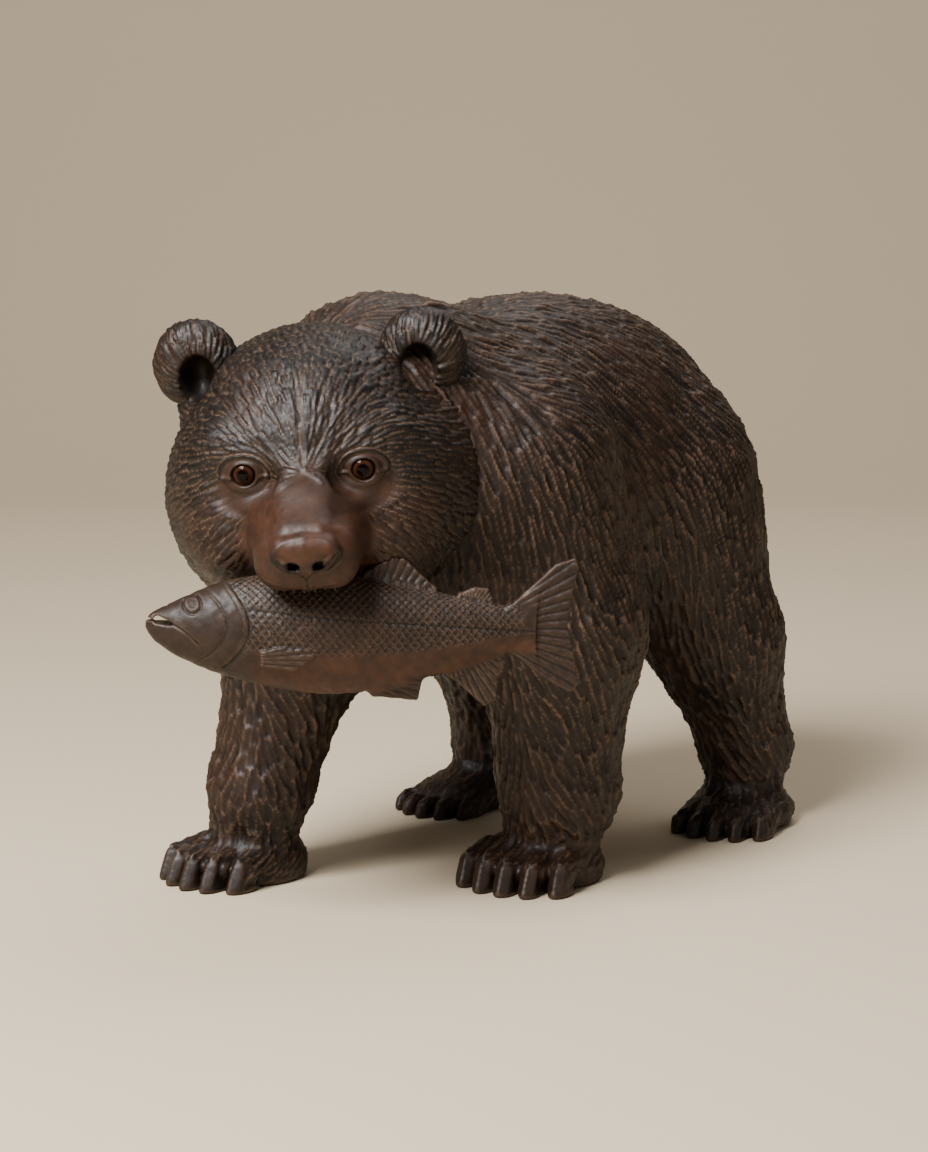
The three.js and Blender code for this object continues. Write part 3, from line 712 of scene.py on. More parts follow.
    def towards_skin(self, p: Points) -> np.ndarray:
        """Give the step that brings points closer to the skin."""
        g = self.slope(p)
        move = (self.evaluate(p.astype(np.float32)) / ((g * g).sum(1) + 1e-6))[:, None] * g
        far = np.linalg.norm(move, axis=1) + 1e-9
        return move * np.minimum(1, 0.5 * self.step / far)[:, None]


class Work(Enum):
    """The kinds of gouge work on the bear, each with its cut: width, length and depth in millimetres."""

    BODY = (4.0, 22.0, 1.7)
    LEG = (5.0, 16.0, 1.7)
    PAW = (3.6, 11.0, 1.0)
    CHEEK = (3.7, 12.5, 1.5)
    FOREHEAD = (2.6, 12.0, 1.0)
    CROWN = (4.4, 7.0, 1.1)
    EAR = (2.7, 12.0, 1.4)

    @property
    def number(self) -> int:
        """Give this kind's place in the list of kinds."""
        return list(Work).index(self)


def waves(p: Points) -> np.ndarray:
    """Give a slow wandering that keeps the cuts from lying too evenly."""
    a = np.sin(p[:, 1] * 0.061 + 1.3 * np.sin(p[:, 2] * 0.043)) + np.sin(p[:, 0] * 0.083 + p[:, 2] * 0.05)
    b = np.sin(p[:, 2] * 0.071 + 1.7 * np.sin(p[:, 0] * 0.037)) + np.sin(p[:, 1] * 0.09 - p[:, 0] * 0.06)
    return np.stack([a, 0.4 * b, b - 0.5 * a], 1)


def line(distance: np.ndarray, width: float) -> np.ndarray:
    """Give 1 on a thin drawn line and 0 away from it."""
    return np.exp(-(distance / width) ** 2)


@dataclass
class Coat:
    """What is carved at each point of a stretch of the bear's skin."""

    kinds: np.ndarray
    flow: np.ndarray
    smooth: np.ndarray
    relief: np.ndarray
    warm: np.ndarray
    nose: np.ndarray
    shade: np.ndarray


@dataclass(frozen=True)
class HeadCarving:
    """Plans the head: fine cuts that fan up from the bridge, scoops on the crown, locks on the cheeks."""

    form: BearForm
    on_ear: bool = False
    fan: tuple[float, float, float] = (0.0, 46.0, 8.0)
    fan_reach: float = 44.0
    crown_from: float = 25.0
    bare_heights: tuple[float, ...] = (-46, -12, 3, 9, 14)
    bare_widths: tuple[float, ...] = (24, 27, 19, 9, 0)
    lid_half: tuple[float, float] = (10.4, 8.0)
    nose_pad: Mass = Mass("nose pad", (0.8, 78, -11), (12.0, 12, 8.5))

    def coat(self, p: Points, n: np.ndarray) -> Coat:
        """Plan the carving.

        Args:
            p: Points of the head's skin in the bear's frame.
            n: The outward directions there.

        Returns:
            The plan.
        """
        q, m = self.form.mirrored(p.astype(np.float32))
        away = q - np.array(self.fan, np.float32)
        far = np.linalg.norm(away, axis=1)
        on_ear = np.full(len(p), self.on_ear)
        ex, ey, ez = self.form.ear_at
        in_ear = ramp(1.6 - np.abs(self.form.ear_hollow(m)), 0.0, 1.2)
        in_nose = ramp(1.3 - np.abs(self.form.nostrils(q)), 0.0, 1.0)
        kinds = np.full(len(p), Work.CHEEK.number)
        kinds[q[:, 2] > self.crown_from] = Work.CROWN.number
        kinds[(far < self.fan_reach) & (q[:, 2] > 6)] = Work.FOREHEAD.number
        kinds[on_ear] = Work.EAR.number
        away[:, 2] -= 12 * ramp(m[:, 0], 20, 44)
        way = unit(away) + np.array([0.0, -0.3, -0.15]) + 0.09 * waves(p)
        side = np.sign(q[:, 0]) + (q[:, 0] == 0)
        ear = q - np.stack([side * (ex - 3.0), np.full(len(q), ey), np.full(len(q), ez - 7.0)], 1)
        way = np.where(on_ear[:, None], unit(ear), way)
        way = self.form.head.turned(way)
        way -= (way * n).sum(1)[:, None] * n
        wide = np.interp(q[:, 2], self.bare_heights, self.bare_widths)
        bare = ramp(wide - m[:, 0], -2.0, 2.5) * ramp(q[:, 1], 22, 30)
        x, y, z = self.form.eye
        lid = np.hypot((m[:, 0] - x) / self.lid_half[0], (m[:, 2] - z) / self.lid_half[1])
        under = (1 - ramp(np.hypot((m[:, 0] - x) / 13.0, (m[:, 2] - z + 8) / 8.0), 0.8, 1.3)) * 0.8
        lids = np.maximum(1 - ramp(lid, 1.0, 1.15), under) * (q[:, 1] > 20)
        # Darker on the lids round the eye.
        darker_lids = 0.25 * (1 - ramp(lid, 0.9, 1.15)) * (q[:, 1] > 20)
        nose = ramp(-egg(q, self.nose_pad.centre, self.nose_pad.half), -0.6, 0.8)
        smooth = np.clip(np.maximum.reduce([bare, lids, nose, in_ear]), 0, 1)
        low_front = 0.4 * ramp(q[:, 1], 5, 40) * ramp(-q[:, 2], -8, 12)
        warm = np.clip(0.75 * bare + 0.5 * lids * (1 - bare) + low_front, 0, 1)
        relief = self.relief(q, m)
        # Keeps the warm and nose colours out of the drawn lines and nostrils, so that these take the painted shade.
        outside_grooves = 1 - np.clip(relief / 0.9, 0, 1)
        top = 0.15 + 0.85 * ramp(q[:, 2], -14.0, -9.0)
        # Painted shade in the ear hollows and nostrils, and darker lids.
        shade = np.maximum.reduce([0.9 * in_ear, in_nose, darker_lids])
        outside_grooves *= 1 - in_nose
        return Coat(kinds, unit(way), smooth, relief, warm * outside_grooves, nose * top * outside_grooves, shade)

    def relief(self, q: Points, m: Points) -> np.ndarray:
        """Draw the lines of the eyelids, the nose and the lips.

        Args:
            q: Points in the head's frame.
            m: The same with the head's sides folded.

        Returns:
            How deep each point is cut.
        """
        x, y, z = self.form.eye
        dx, dz = m[:, 0] - x, m[:, 2] - z
        ring = 9.6 * np.hypot(dx / 10.0, dz / 7.5)
        front = ramp(q[:, 1], 24, 28)
        above, below = ramp(dz, -3.0, 1.0), ramp(-dz, -0.5, 2.0)
        cut = 1.3 * line(ring - 9.6, 0.7) * above - 0.35 * line(ring - 7.8, 1.0) * above
        cut += 0.25 * line(ring - 8.6, 0.9) * below - 0.35 * line(ring - 6.6, 0.7) * below
        corner = ramp(np.abs(dx), 5.0, 6.4) * (1 - ramp(np.abs(dx), 9.5, 11.5))
        cut += 1.0 * line(dz + 1.3 + 0.06 * dx, 0.6) * corner
        cut *= front
        snout = ramp(q[:, 1], 62, 68)
        pad = np.hypot((q[:, 0] - 0.8) / 12.8, (q[:, 2] + 11.4) / 8.0)
        around = 0.2 + 0.8 * ramp(-q[:, 2], 6.0, 11.0) * ramp(np.abs(q[:, 0] - 0.8), 4.0, 9.0)
        cut += 1.2 * line((pad - 1) * 9.5, 0.8) * around * snout
        slot = m[:, 0] - 0.5
        slit = line(q[:, 2] + 14.6 - 0.75 * np.maximum(slot - 6.5, 0), 0.8) * ramp(slot, 6.0, 7.0)
        cut += 1.6 * (slit * (1 - ramp(slot, 10.0, 11.5))) * ramp(q[:, 1], 66, 72)
        lip = q[:, 2] + 18.6
        fork = (line(m[:, 0] - 0.6 * np.maximum(lip + 3.2, 0), 0.7) * ramp(lip, -3.4, -2.6)
                * (1 - ramp(lip, 1.0, 2.4)))
        stem = line(q[:, 0], 0.7) * ramp(-lip, 2.4, 3.2) * ramp(q[:, 2], -29.5, -28.0)
        edge = (line(q[:, 2] + 26.8 - 0.010 * (m[:, 0] + 4) ** 2, 0.6) * ramp(m[:, 0], 2, 5)
                * (1 - ramp(m[:, 0], 15, 19)))
        return cut + (1.2 * (fork + stem) + 0.35 * edge) * ramp(q[:, 1], 66, 70)


@dataclass(frozen=True)
class BodyCarving:
    """Plans the body and legs: long cuts that sweep back and down, and locks that part along each leg."""

    form: BearForm

    def coat(self, p: Points, n: np.ndarray) -> Coat:
        """Plan the carving.

        Args:
            p: Points of the body's skin in the bear's frame.
            n: The outward directions there.

        Returns:
            The plan.
        """
        p = p.astype(np.float32)
        legs = np.stack([leg.shank(p) for leg in self.form.legs])
        nearest = legs.argmin(0)
        on_leg = ramp(self.form.trunk(p) - legs.min(0), -6.0, 8.0) * ramp(-p[:, 2], -150, -115)
        on_paw = ramp(-p[:, 2], -26.0, -18.0)
        kinds = np.full(len(p), Work.BODY.number)
        kinds[on_leg > 0.5] = Work.LEG.number
        kinds[on_paw > 0.5] = Work.PAW.number
        side = np.abs(n[:, 0])
        down = 0.25 + 1.15 * side ** 1.5 + 1.3 * np.maximum(-n[:, 1], 0)
        body = np.stack([np.zeros(len(p)), np.ones(len(p)), -down], 1)
        middle = np.array([leg.joint for leg in self.form.legs], np.float32)[nearest]
        part = np.tanh((p[:, 0] - middle[:, 0]) / 8.0)
        leg = np.stack([0.36 * part, 0.22 * np.ones(len(p)), -np.ones(len(p))], 1)
        turn = np.radians(np.array([each.paw_turn for each in self.form.legs]))[nearest]
        paw = np.stack([np.sin(turn), -np.cos(turn), np.full(len(p), -0.35)], 1)
        way = unit(body) * (1 - on_leg)[:, None] + unit(leg) * on_leg[:, None]
        way = way * (1 - on_paw)[:, None] + unit(paw) * on_paw[:, None] + waves(p) * 0.14
        way -= (way * n).sum(1)[:, None] * n
        slots, claws = np.zeros(len(p)), np.zeros(len(p))
        for leg in self.form.legs:
            slot, claw = leg.toe_lines(p)
            slots, claws = np.maximum(slots, slot), np.maximum(claws, claw)
        smooth = np.maximum(1 - ramp(p[:, 2], 0.8, 3.0), np.clip(claws + slots, 0, 1))
        none = np.zeros(len(p))
        # Painted shade on the undersides and in the slots between the toes, and darker claws.
        shade = np.maximum.reduce([0.6 * ramp(-n[:, 2], 0.2, 0.9), 0.9 * slots, 0.75 * claws])
        return Coat(kinds, unit(way), smooth, 1.3 * slots, none + 0.12, none, shade)


@dataclass
class GougeWork:
    """Cuts the fur: scatters strokes over the skin and scoops each one out along the lie of the fur."""

    points: Points
    normals: np.ndarray
    coat: Coat
    seed: int = SEED
    gap_along: float = 0.46
    gap_across: float = 0.5
    candidates: int = 90000
    width_spread: tuple[float, float] = (0.85, 1.2)
    length_spread: tuple[float, float] = (0.8, 1.25)
    depth_spread: tuple[float, float] = (0.75, 1.25)
    skew: float = 0.12

    def scatter(self, scale: float) -> list[int]:
        """Choose the points where strokes are made, evenly but not in rows.

        Args:
            scale: How much larger the strokes are than the named work.

        Returns:
            The numbers of the chosen points.
        """
        rng = np.random.default_rng(self.seed)
        order = rng.permutation(len(self.points))
        order = order[self.coat.smooth[order] < 0.75][: self.candidates]
        cell = 9.0 * scale
        keys = np.floor(self.points[order] / cell).astype(int).tolist()
        places, ways = self.points[order].tolist(), self.coat.flow[order].tolist()
        limits = [((self.gap_along * length * scale) ** -2, (self.gap_across * width * scale) ** -2)
                  for width, length, _ in (work.value for work in Work)]
        kinds = self.coat.kinds[order].tolist()
        around = [(i, j, k) for i in (-1, 0, 1) for j in (-1, 0, 1) for k in (-1, 0, 1)]
        kept: dict[tuple[int, int, int], list[tuple[float, float, float]]] = {}
        chosen = []
        for number, ((kx, ky, kz), (px, py, pz), (fx, fy, fz), kind) in enumerate(zip(keys, places, ways, kinds)):
            a, b = limits[kind]
            clear = True
            for i, j, k in around:
                for ox, oy, oz in kept.get((kx + i, ky + j, kz + k), ()):
                    gx, gy, gz = ox - px, oy - py, oz - pz
                    along = gx * fx + gy * fy + gz * fz
                    along *= along
                    if along * a + (gx * gx + gy * gy + gz * gz - along) * b < 1.0:
                        clear = False
                        break
                if not clear:
                    break
            if clear:
                kept.setdefault((kx, ky, kz), []).append((px, py, pz))
                chosen.append(int(order[number]))
        return chosen

    def cut(self, scale: float = 1.0, depth: float = 1.0) -> tuple[np.ndarray, np.ndarray]:
        """Scoop the strokes out.

        Args:
            scale: How much larger the strokes are than the named work.
            depth: How much deeper they are.

        Returns:
            How deep the skin is cut at each point, and a tone for each point from 0 to 1 that belongs to
            the stroke that made it.
        """
        rng = np.random.default_rng(self.seed + 1)
        sizes = np.array([work.value for work in Work])
        chosen = self.scatter(scale)
        cut = np.zeros(len(self.points))
        tone = np.full(len(self.points), 0.5)
        cell = 5.0 * scale
        keys = np.floor(self.points / cell).astype(np.int64) + 512
        code = (keys[:, 0] * 1024 + keys[:, 1]) * 1024 + keys[:, 2]
        order = np.argsort(code, kind="stable")
        ordered = code[order]
        for i in chosen:
            width, length, deep = sizes[self.coat.kinds[i]] * scale
            width *= rng.uniform(*self.width_spread)
            length *= rng.uniform(*self.length_spread)
            deep *= depth / scale * rng.uniform(*self.depth_spread)
            mark, skew = rng.random(), rng.uniform(-self.skew, self.skew)
            reach = int(math.ceil(length * 0.56 / cell))
            k = keys[i]
            rows = [((k[0] + dx) * 1024 + k[1] + dy) * 1024 + k[2]
                    for dx in range(-reach, reach + 1) for dy in range(-reach, reach + 1)]
            firsts = np.searchsorted(ordered, np.array(rows) - reach)
            lasts = np.searchsorted(ordered, np.array(rows) + reach + 1)
            near = np.concatenate([order[a:b] for a, b in zip(firsts, lasts) if b > a])
            f, n = self.coat.flow[i], self.normals[i]
            b = np.cross(n, f)
            f = unit(f + skew * b)
            b = np.cross(n, f)
            gap = self.points[near] - self.points[i]
            along = gap @ f / length + 0.5
            half = width * 0.5 * (0.45 + 0.55 * np.clip(along / 0.55, 0, 1))
            t = (gap @ b) / half
            along += 0.1 * t * t
            rise = np.sqrt(np.clip(along / 0.6, 0, 1)) * np.clip((1.0 - along) / 0.14, 0, 1)
            same = (self.normals[near] @ n > 0.25) & (np.abs(gap @ n) < width)
            scoop = deep * rise * np.clip(1 - t * t, 0, 1) * same * (1 - self.coat.smooth[near])
            better = scoop > cut[near]
            cut[near[better]] = scoop[better]
            tone[near[better]] = mark
        log.info("%d strokes at scale %.1f", len(chosen), scale)
        return cut, tone


@dataclass(frozen=True)
class CarvedWood:
    """Stained and waxed wood: painted shade darkens it down in the cuts, hollows and undersides, and a thin light line
    on the crests between the cuts is partly rubbed wear and partly painted sheen.
    """

    name: str
    wood: tuple[float, float, float]
    # The crest colour is partly rubbed wear and partly a painted sheen; the darkest colour is painted shade for the
    # cuts, drawn lines, hollows and undersides.
    crest: tuple[float, float, float]
    recess_shade: tuple[float, float, float]
    warm: tuple[float, float, float]
    nose: tuple[float, float, float]
    roughness: tuple[float, float] = (0.42, 0.62)
    grain: float = 0.3
    specular: float = 0.32
    bump_strength: float = 0.3
    bump_height: float = 0.0005

    def material(self) -> bpy.types.Material:
        """Build the node material."""
        made = bpy.data.materials.new(self.name)
        made.use_nodes = True
        tree = made.node_tree
        nodes, links = tree.nodes, tree.links
        shader = nodes["Principled BSDF"]
        place = nodes.new("ShaderNodeTexCoord").outputs["Object"]

        def attribute(name: str) -> bpy.types.NodeSocket:
            """Read a number kept at the mesh's points."""
            node = nodes.new("ShaderNodeAttribute")
            node.attribute_name = name
            return node.outputs["Fac"]

        def noise(scale: float, detail: float, stretch: tuple[float, float, float]) -> bpy.types.NodeSocket:
            """Make a noise stretched along the block's grain."""
            mapping = nodes.new("ShaderNodeMapping")
            mapping.inputs["Scale"].default_value = stretch
            links.new(place, mapping.inputs["Vector"])
            node = nodes.new("ShaderNodeTexNoise")
            node.inputs["Scale"].default_value = scale
            node.inputs["Detail"].default_value = detail
            links.new(mapping.outputs["Vector"], node.inputs["Vector"])
            return node.outputs["Fac"]

        def mix(factor: bpy.types.NodeSocket, a: object, b: object) -> bpy.types.NodeSocket:
            """Mix two colours, each a value or a socket."""
            node = nodes.new("ShaderNodeMix")
            node.data_type = "RGBA"
            links.new(factor, node.inputs["Factor"])
            for socket, value in ((node.inputs[6], a), (node.inputs[7], b)):
                if isinstance(value, bpy.types.NodeSocket):
                    links.new(value, socket)
                else:
                    socket.default_value = (*value, 1.0)
            return node.outputs[2]

        def remap(value: bpy.types.NodeSocket, old: tuple[float, float],
                  new: tuple[float, float]) -> bpy.types.NodeSocket:
            """Carry a number from one range into another."""
            node = nodes.new("ShaderNodeMapRange")
            links.new(value, node.inputs["Value"])
            for key, number in zip(("From Min", "From Max", "To Min", "To Max"), (*old, *new)):
                node.inputs[key].default_value = number
            return node.outputs["Result"]

        def calculate(kind: str, a: bpy.types.NodeSocket, b: object) -> bpy.types.NodeSocket:
            """Do one sum on numbers."""
            node = nodes.new("ShaderNodeMath")
            node.operation = kind
            links.new(a, node.inputs[0])
            if isinstance(b, bpy.types.NodeSocket):
                links.new(b, node.inputs[1])
            else:
                node.inputs[1].default_value = b
            return node.outputs[0]

        cloud = noise(16.0, 3.0, (1.0, 1.0, 1.0))
        fibre = noise(60.0, 5.0, (3.0, 0.5, 3.0))
        fine = noise(420.0, 4.0, (1.0, 0.35, 1.0))
        # Painted shade: where the ridge attribute is low, down in the cuts, drawn lines, hollows and undersides, the
        # colour goes to the darkest one.
        height = calculate("ADD", attribute("ridge"), remap(attribute("tone"), (0.0, 1.0), (-0.12, 0.12)))
        colour = mix(remap(height, (0.0, 0.85), (0.0, 1.0)), self.recess_shade, self.wood)
        colour = mix(remap(cloud, (0.48, 0.72), (0.0, 0.4)), colour, self.warm)
        colour = mix(calculate("MULTIPLY", attribute("warm"), remap(fibre, (0.3, 0.7), (0.55, 1.0))), colour, self.warm)
        colour = mix(attribute("nose"), colour, self.nose)
        # A light line on the crests, partly rubbed wear and partly a painted sheen highlight.
        rubbed_and_sheen = calculate("MULTIPLY", attribute("crest"), remap(cloud, (0.3, 0.6), (1.0, 0.55)))
        colour = mix(rubbed_and_sheen, colour, self.crest)
        shade = nodes.new("ShaderNodeHueSaturation")
        links.new(colour, shade.inputs["Color"])
        links.new(remap(fibre, (0.3, 0.7), (1.0 - self.grain, 1.0 + self.grain)), shade.inputs["Value"])
        links.new(shade.outputs["Color"], shader.inputs["Base Color"])
        links.new(remap(fine, (0.3, 0.7), self.roughness), shader.inputs["Roughness"])
        shader.inputs["Specular IOR Level"].default_value = self.specular
        bump = nodes.new("ShaderNodeBump")
        bump.inputs["Strength"].default_value = self.bump_strength
        bump.inputs["Distance"].default_value = self.bump_height
        links.new(calculate("ADD", fine, fibre), bump.inputs["Height"])
        links.new(bump.outputs["Normal"], shader.inputs["Normal"])
        return made


@dataclass(frozen=True)
class EyeGlass:
    """A glass eye: a black pupil in an amber brown iris, seen through a polished front."""

    name: str
    looks: tuple[float, float, float]
    centre: tuple[float, float, float]
    iris: tuple[float, float, float] = (0.034, 0.012, 0.005)
    rim: tuple[float, float, float] = (0.006, 0.003, 0.002)
    pupil: tuple[float, float, float] = (0.002, 0.001, 0.001)
    rim_at: float = 0.70
    pupil_at: float = 0.925
    iris_rings: tuple[tuple[float, float], ...] = ((0.76, 0.55), (0.82, 1.0), (0.9, 0.6))
    roughness: float = 0.08
    ior: float = 1.45
    specular: float = 0.12

    def material(self) -> bpy.types.Material:
        """Build the node material."""
        made = bpy.data.materials.new(self.name)
        made.use_nodes = True
        nodes, links = made.node_tree.nodes, made.node_tree.links
        shader = nodes["Principled BSDF"]
        place = nodes.new("ShaderNodeTexCoord").outputs["Object"]
        from_middle = nodes.new("ShaderNodeVectorMath")
        from_middle.operation = "SUBTRACT"
        links.new(place, from_middle.inputs[0])
        from_middle.inputs[1].default_value = self.centre
        facing = nodes.new("ShaderNodeVectorMath")
        facing.operation = "NORMALIZE"
        links.new(from_middle.outputs[0], facing.inputs[0])
        towards = nodes.new("ShaderNodeVectorMath")
        towards.operation = "DOT_PRODUCT"
        links.new(facing.outputs[0], towards.inputs[0])
        towards.inputs[1].default_value = self.looks
        rings = nodes.new("ShaderNodeValToRGB")
        links.new(towards.outputs["Value"], rings.inputs["Fac"])
        stops = rings.color_ramp.elements
        stops[0].position, stops[0].color = self.rim_at, (*self.rim, 1)
        stops[1].position, stops[1].color = self.pupil_at, (*self.pupil, 1)
        for position, share in self.iris_rings:
            stop = stops.new(position)
            stop.color = (*[c * share for c in self.iris], 1)
        links.new(rings.outputs["Color"], shader.inputs["Base Color"])
        shader.inputs["Roughness"].default_value = self.roughness
        shader.inputs["IOR"].default_value = self.ior
        shader.inputs["Specular IOR Level"].default_value = self.specular
        return made


@dataclass(frozen=True)
class PlainFloor:
    """The pale floor of the studio."""

    name: str = "studio_floor"
    colour: tuple[float, float, float] = (0.58, 0.47, 0.33)
    roughness: float = 0.8

    def material(self) -> bpy.types.Material:
        """Build the node material."""
        made = bpy.data.materials.new(self.name)
        made.use_nodes = True
        shader = made.node_tree.nodes["Principled BSDF"]
        shader.inputs["Base Color"].default_value = (*self.colour, 1)
        shader.inputs["Roughness"].default_value = self.roughness
        return made


@dataclass(frozen=True)
class DrawnFrame:
    """Carries drawn millimetres of the bear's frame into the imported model's metres."""

    scale: float
    shift: tuple[float, float, float]

    @classmethod
    def from_eyes(cls, form: BearForm) -> "DrawnFrame":
        """Read the frame off the two glass eyes, which both models hold."""
        x, y, z = form.eye
        drawn = form.head.outside(np.array([[x, y, z], [-x, y, z]]))
        packed = np.array([np.mean(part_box(name), axis=0) for name in ("eye_left", "eye_right")])
        scale = float(np.linalg.norm(packed[0] - packed[1]) / np.linalg.norm(drawn[0] - drawn[1]))
        return cls(scale, tuple(packed.mean(0) - drawn.mean(0) * scale))

    def metres(self, p: np.ndarray) -> np.ndarray:
        """Bring drawn points into metres."""
        return np.asarray(p) * self.scale + np.array(self.shift)


def mesh_object(name: str, points: np.ndarray, faces: Sequence[np.ndarray], values: dict[str, np.ndarray],
                material: bpy.types.Material, normals: np.ndarray | None = None) -> bpy.types.Object:
    """Make a smooth-shaded object with numbers kept at its points.

    Args:
        name: The piece's name.
        points: Its corners, in metres.
        faces: Its faces, in arrays whose rows are corner numbers.
        values: Numbers to keep at the corners, by name.
        material: Its finish.
        normals: Directions to shade the corners by, if not their own.

    Returns:
        The object, in the scene.
    """
    mesh = bpy.data.meshes.new(name)
    mesh.vertices.add(len(points))
    mesh.vertices.foreach_set("co", points.astype(np.float32).ravel())
    corners = np.concatenate([rows.ravel() for rows in faces])
    sides = np.concatenate([np.full(len(rows), rows.shape[1]) for rows in faces])
    mesh.loops.add(len(corners))
    mesh.loops.foreach_set("vertex_index", corners.astype(np.int32))
    mesh.polygons.add(len(sides))
    mesh.polygons.foreach_set("loop_start", (np.cumsum(sides) - sides).astype(np.int32))
    mesh.update(calc_edges=True)
    mesh.validate()
    for key, value in values.items():
        mesh.attributes.new(key, "FLOAT", "POINT").data.foreach_set("value", value.astype(np.float32))
    mesh.polygons.foreach_set("use_smooth", np.ones(len(mesh.polygons), bool))
    if normals is not None:
        mesh.normals_split_custom_set_from_vertices(normals.astype(np.float32))
    mesh.materials.append(material)
    made = bpy.data.objects.new(name, mesh)
    bpy.context.scene.collection.objects.link(made)
    return made


def evaluated(piece: bpy.types.Object) -> None:
    """Turn what a piece's modifiers make into its own plain mesh."""
    graph = bpy.context.evaluated_depsgraph_get()
    made = bpy.data.meshes.new_from_object(piece.evaluated_get(graph), depsgraph=graph)
    piece.modifiers.clear()
    piece.data = made


def corner_normals(points: Points, faces: np.ndarray) -> np.ndarray:
    """Give the outward direction at each corner of a skin."""
    face = np.cross(points[faces[:, 2]] - points[faces[:, 0]], points[faces[:, 3]] - points[faces[:, 1]])
    total = np.zeros_like(points)
    for side in range(4):
        for axis in range(3):
            total[:, axis] += np.bincount(faces[:, side], face[:, axis], len(points))
    return unit(total)


def crests(points: Points, faces: np.ndarray, normals: np.ndarray) -> np.ndarray:
    """Find the sharp crests between cuts.

    Args:
        points: The corners of the carved skin.
        faces: Its four-sided faces.
        normals: The outward directions.

    Returns:
        For each corner, how far it stands above its neighbours, as a share of their distance.
    """
    ends = np.concatenate([faces[:, [i, (i + 1) % 4]] for i in range(4)])
    gap = points[ends[:, 1]] - points[ends[:, 0]]
    drop = -(gap * normals[ends[:, 0]]).sum(1)
    far = np.linalg.norm(gap, axis=1)
    return np.bincount(ends[:, 0], drop, len(points)) / (np.bincount(ends[:, 0], far, len(points)) + 1e-9)


@dataclass
class CarvedSkin:
    """A stretch of the bear's skin on its way from a plain form to a carved and dressed piece."""

    points: Points
    faces: np.ndarray
    values: dict[str, np.ndarray] = field(default_factory=dict)
    normals: np.ndarray = field(default_factory=lambda: np.zeros((0, 3)))

    def carve(self, plan: Callable[[Points, np.ndarray], Coat], swell: float) -> None:
        """Cut the fur and the drawn lines.

        Args:
            plan: Gives the carving for points and outward directions.
            swell: How far furry skin is raised first, so that the cuts end on the form.
        """
        normals = corner_normals(self.points, self.faces)
        coat = plan(self.points, normals)
        work = GougeWork(self.points, normals, coat)
        locks, _ = work.cut(2.6, 0.5)
        cuts, tone = work.cut()
        furry = 1 - coat.smooth
        deep = np.array([each.value[2] for each in Work])[coat.kinds]
        # The height joins the depth of the cuts and drawn lines with the painted shade of the coat; the material paints
        # shade where it is low.
        height = 1 - np.clip(cuts / deep, 0, 1) * furry - np.clip(coat.relief / 1.2, 0, 1) - coat.shade
        self.points = self.points + normals * (swell * furry * deep - cuts - locks - coat.relief)[:, None]
        self.points[:, 2] = np.maximum(self.points[:, 2], 0.0)
        self.normals = corner_normals(self.points, self.faces)
        rise = crests(self.points, self.faces, self.normals)
        # ridge carries the painted shade; crest marks where a light line goes, partly wear and partly painted sheen.
        self.values = {
            "ridge": np.clip(height, 0, 1), "crest": np.clip((rise - 0.06) / 0.24, 0, 1) * np.clip(height * 2, 0, 1),
            "tone": tone, "warm": coat.warm, "nose": coat.nose,
        }

    def divided(self, number: int, at: float) -> list["CarvedSkin"]:
        """Divide the skin at a plane into two that share their edge.

        Args:
            number: The axis across the plane.
            at: Where it lies on that axis.

        Returns:
            The two skins, open at the plane.
        """
        low = self.points[self.faces].mean(1)[:, number] < at
        parts = []
        for chosen in (self.faces[low], self.faces[~low]):
            used, inverse = np.unique(chosen, return_inverse=True)
            values = {key: value[used] for key, value in self.values.items()}
            parts.append(CarvedSkin(self.points[used], inverse.reshape(-1, 4), values, self.normals[used]))
        return parts

    def caps(self) -> tuple[Points, np.ndarray]:
        """Close the skin's open edges inside the body.

        Returns:
            One more corner, in the middle of the skin, and the triangles that run to it.
        """
        ends = np.concatenate([self.faces[:, [i, (i + 1) % 4]] for i in range(4)])
        code, back = ends[:, 0] * len(self.points) + ends[:, 1], ends[:, 1] * len(self.points) + ends[:, 0]
        open_ends = ends[~np.isin(code, back)]
        middle = self.points.mean(0) if not len(open_ends) else self.points[open_ends[:, 0]].mean(0)
        return middle, np.stack([open_ends[:, 1], open_ends[:, 0], np.full(len(open_ends), len(self.points))], 1)

    def piece(self, name: str, place: "DrawnFrame", material: bpy.types.Material) -> bpy.types.Object:
        """Make the object, closed."""
        middle, cap = self.caps()
        if not len(cap):
            return mesh_object(name, place.metres(self.points), [self.faces], self.values, material)
        values = {key: np.append(value, 0.0) for key, value in self.values.items()}
        normals = np.vstack([self.normals, (0.0, 0.0, 1.0)])
        points = place.metres(np.vstack([self.points, middle]))
        return mesh_object(name, points, [self.faces, cap], values, material, normals)


